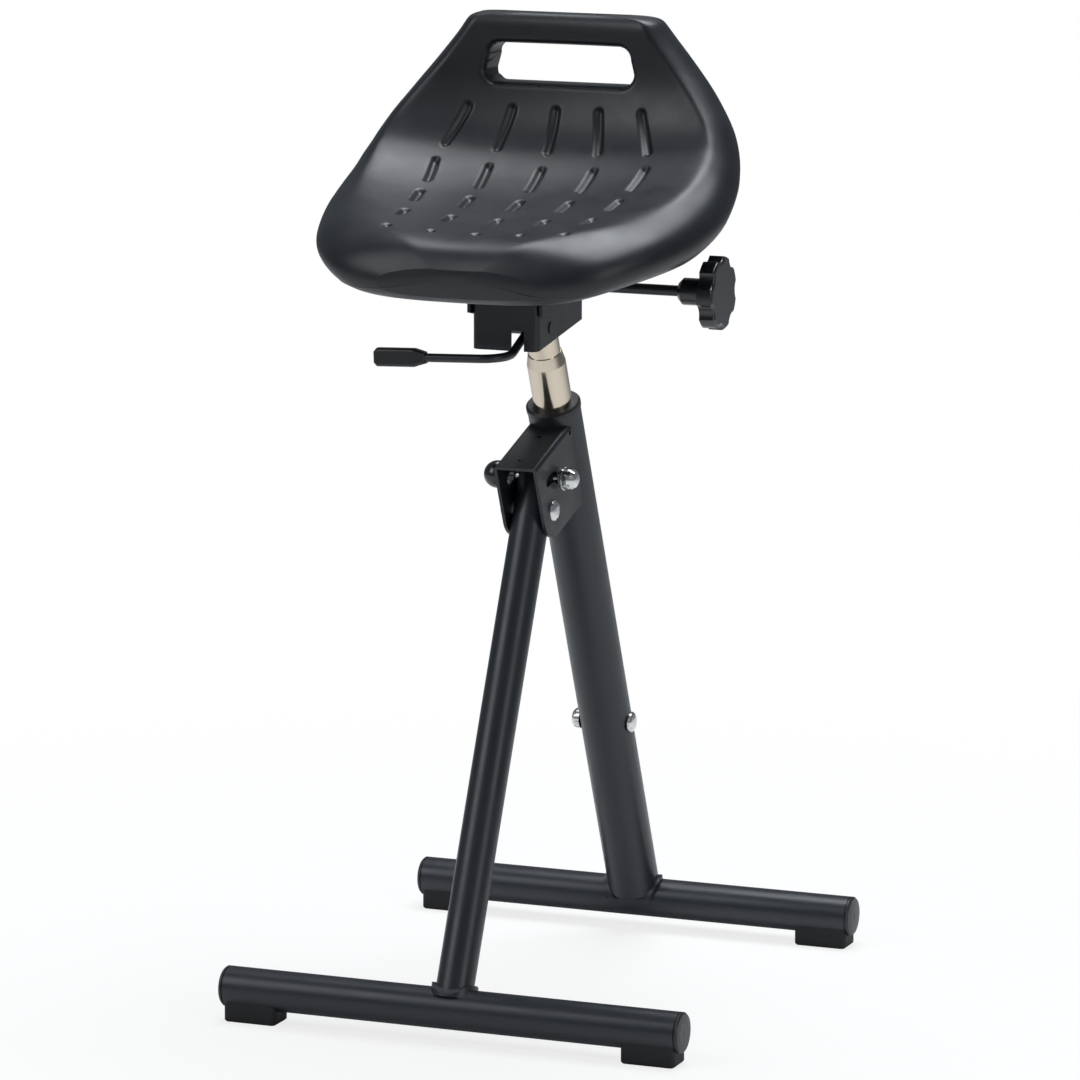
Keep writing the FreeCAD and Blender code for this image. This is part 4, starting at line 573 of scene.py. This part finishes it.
def stage_sheet():
    """A level sheet under the stool: white to the eye, pale to the light, and it keeps part of the shadow."""
    half = FLOOR_HALF
    mesh = bpy.data.meshes.new("studio_floor")
    mesh.from_pydata([(-half, -half, 0), (half, -half, 0), (half, half, 0), (-half, half, 0)], [], [(0, 1, 2, 3)])
    floor = bpy.data.objects.new("studio_floor", mesh)
    bpy.context.scene.collection.objects.link(floor)
    look = bpy.data.materials.new("white_floor")
    look.use_nodes = True
    n, l = look.node_tree.nodes, look.node_tree.links
    n.clear()
    paint, glow, mix = n.new("ShaderNodeBsdfDiffuse"), n.new("ShaderNodeEmission"), n.new("ShaderNodeMixShader")
    ray, out, pick = n.new("ShaderNodeLightPath"), n.new("ShaderNodeOutputMaterial"), n.new("ShaderNodeMath")
    paint.inputs["Color"].default_value = FLOOR_PAINT
    glow.inputs["Color"].default_value = (1, 1, 1, 1)
    pick.operation = "MULTIPLY"
    place, reach = n.new("ShaderNodeTexCoord"), n.new("ShaderNodeVectorMath")
    span = n.new("ShaderNodeMapRange")
    reach.operation = "LENGTH"
    span.interpolation_type = "SMOOTHSTEP"
    for name, value in FLOOR_GLOW:
        span.inputs[name].default_value = value
    l.new(place.outputs["Object"], reach.inputs[0])
    l.new(reach.outputs["Value"], span.inputs["Value"])
    l.new(span.outputs["Result"], pick.inputs[1])
    l.new(ray.outputs["Is Camera Ray"], pick.inputs[0])
    l.new(pick.outputs["Value"], mix.inputs["Fac"])
    l.new(paint.outputs["BSDF"], mix.inputs[1])
    l.new(glow.outputs["Emission"], mix.inputs[2])
    l.new(mix.outputs["Shader"], out.inputs["Surface"])
    mesh.materials.append(look)


def studio_world():
    """White to the eye, grey to everything else."""
    world = bpy.data.worlds.new("studio")
    bpy.context.scene.world = world
    world.use_nodes = True
    n, l = world.node_tree.nodes, world.node_tree.links
    n.clear()
    soft, white, mix = n.new("ShaderNodeBackground"), n.new("ShaderNodeBackground"), n.new("ShaderNodeMixShader")
    ray, out = n.new("ShaderNodeLightPath"), n.new("ShaderNodeOutputWorld")
    soft.inputs["Color"].default_value = SKY_COLOUR
    soft.inputs["Strength"].default_value = SKY_STRENGTH
    white.inputs["Strength"].default_value = 1.0
    white.inputs["Color"].default_value = (1, 1, 1, 1)
    l.new(ray.outputs["Is Camera Ray"], mix.inputs["Fac"])
    l.new(soft.outputs["Background"], mix.inputs[1])
    l.new(white.outputs["Background"], mix.inputs[2])
    l.new(mix.outputs["Shader"], out.inputs["Surface"])


def softbox(name, place, aim, width, height, power, colour):
    """A rectangular soft lamp that looks at a point."""
    lamp = bpy.data.lights.new(name, "AREA")
    lamp.shape, lamp.size, lamp.size_y = "RECTANGLE", width, height
    lamp.energy, lamp.color = power, colour
    made = bpy.data.objects.new(name, lamp)
    bpy.context.scene.collection.objects.link(made)
    facing = (Vector(aim) - Vector(place)).to_track_quat("-Z", "Y")
    made.matrix_world = Matrix.Translation(place) @ facing.to_matrix().to_4x4()


def photo_camera():
    """Camera at the fitted viewing angle, with its small roll."""
    turn, rise, roll = (math.radians(angle) for angle in (CAMERA_TURN, CAMERA_RISE, CAMERA_ROLL))
    look = Vector((-math.sin(turn) * math.cos(rise), math.cos(turn) * math.cos(rise), -math.sin(rise)))
    right = Vector((math.cos(turn), math.sin(turn), 0))
    up = right.cross(look)
    side = math.cos(roll) * right + math.sin(roll) * up
    top = -math.sin(roll) * right + math.cos(roll) * up
    aim = Vector((0, 0, AIM_HEIGHT)) + right * AIM_ASIDE
    place = aim - look * CAMERA_DISTANCE
    lens = bpy.data.cameras.new("photo_camera")
    lens.sensor_width, lens.lens = SENSOR, LENS
    lens.clip_start, lens.clip_end = 0.1, 200.0
    camera = bpy.data.objects.new("photo_camera", lens)
    bpy.context.scene.collection.objects.link(camera)
    turned = Matrix((side, top, -look)).transposed().to_4x4()
    camera.matrix_world = Matrix.Translation(place) @ turned
    bpy.context.scene.camera = camera


stage_sheet()
studio_world()
for lamp in LAMPS:
    softbox(*lamp)
photo_camera()
bpy.context.scene.view_settings.view_transform = "Standard"
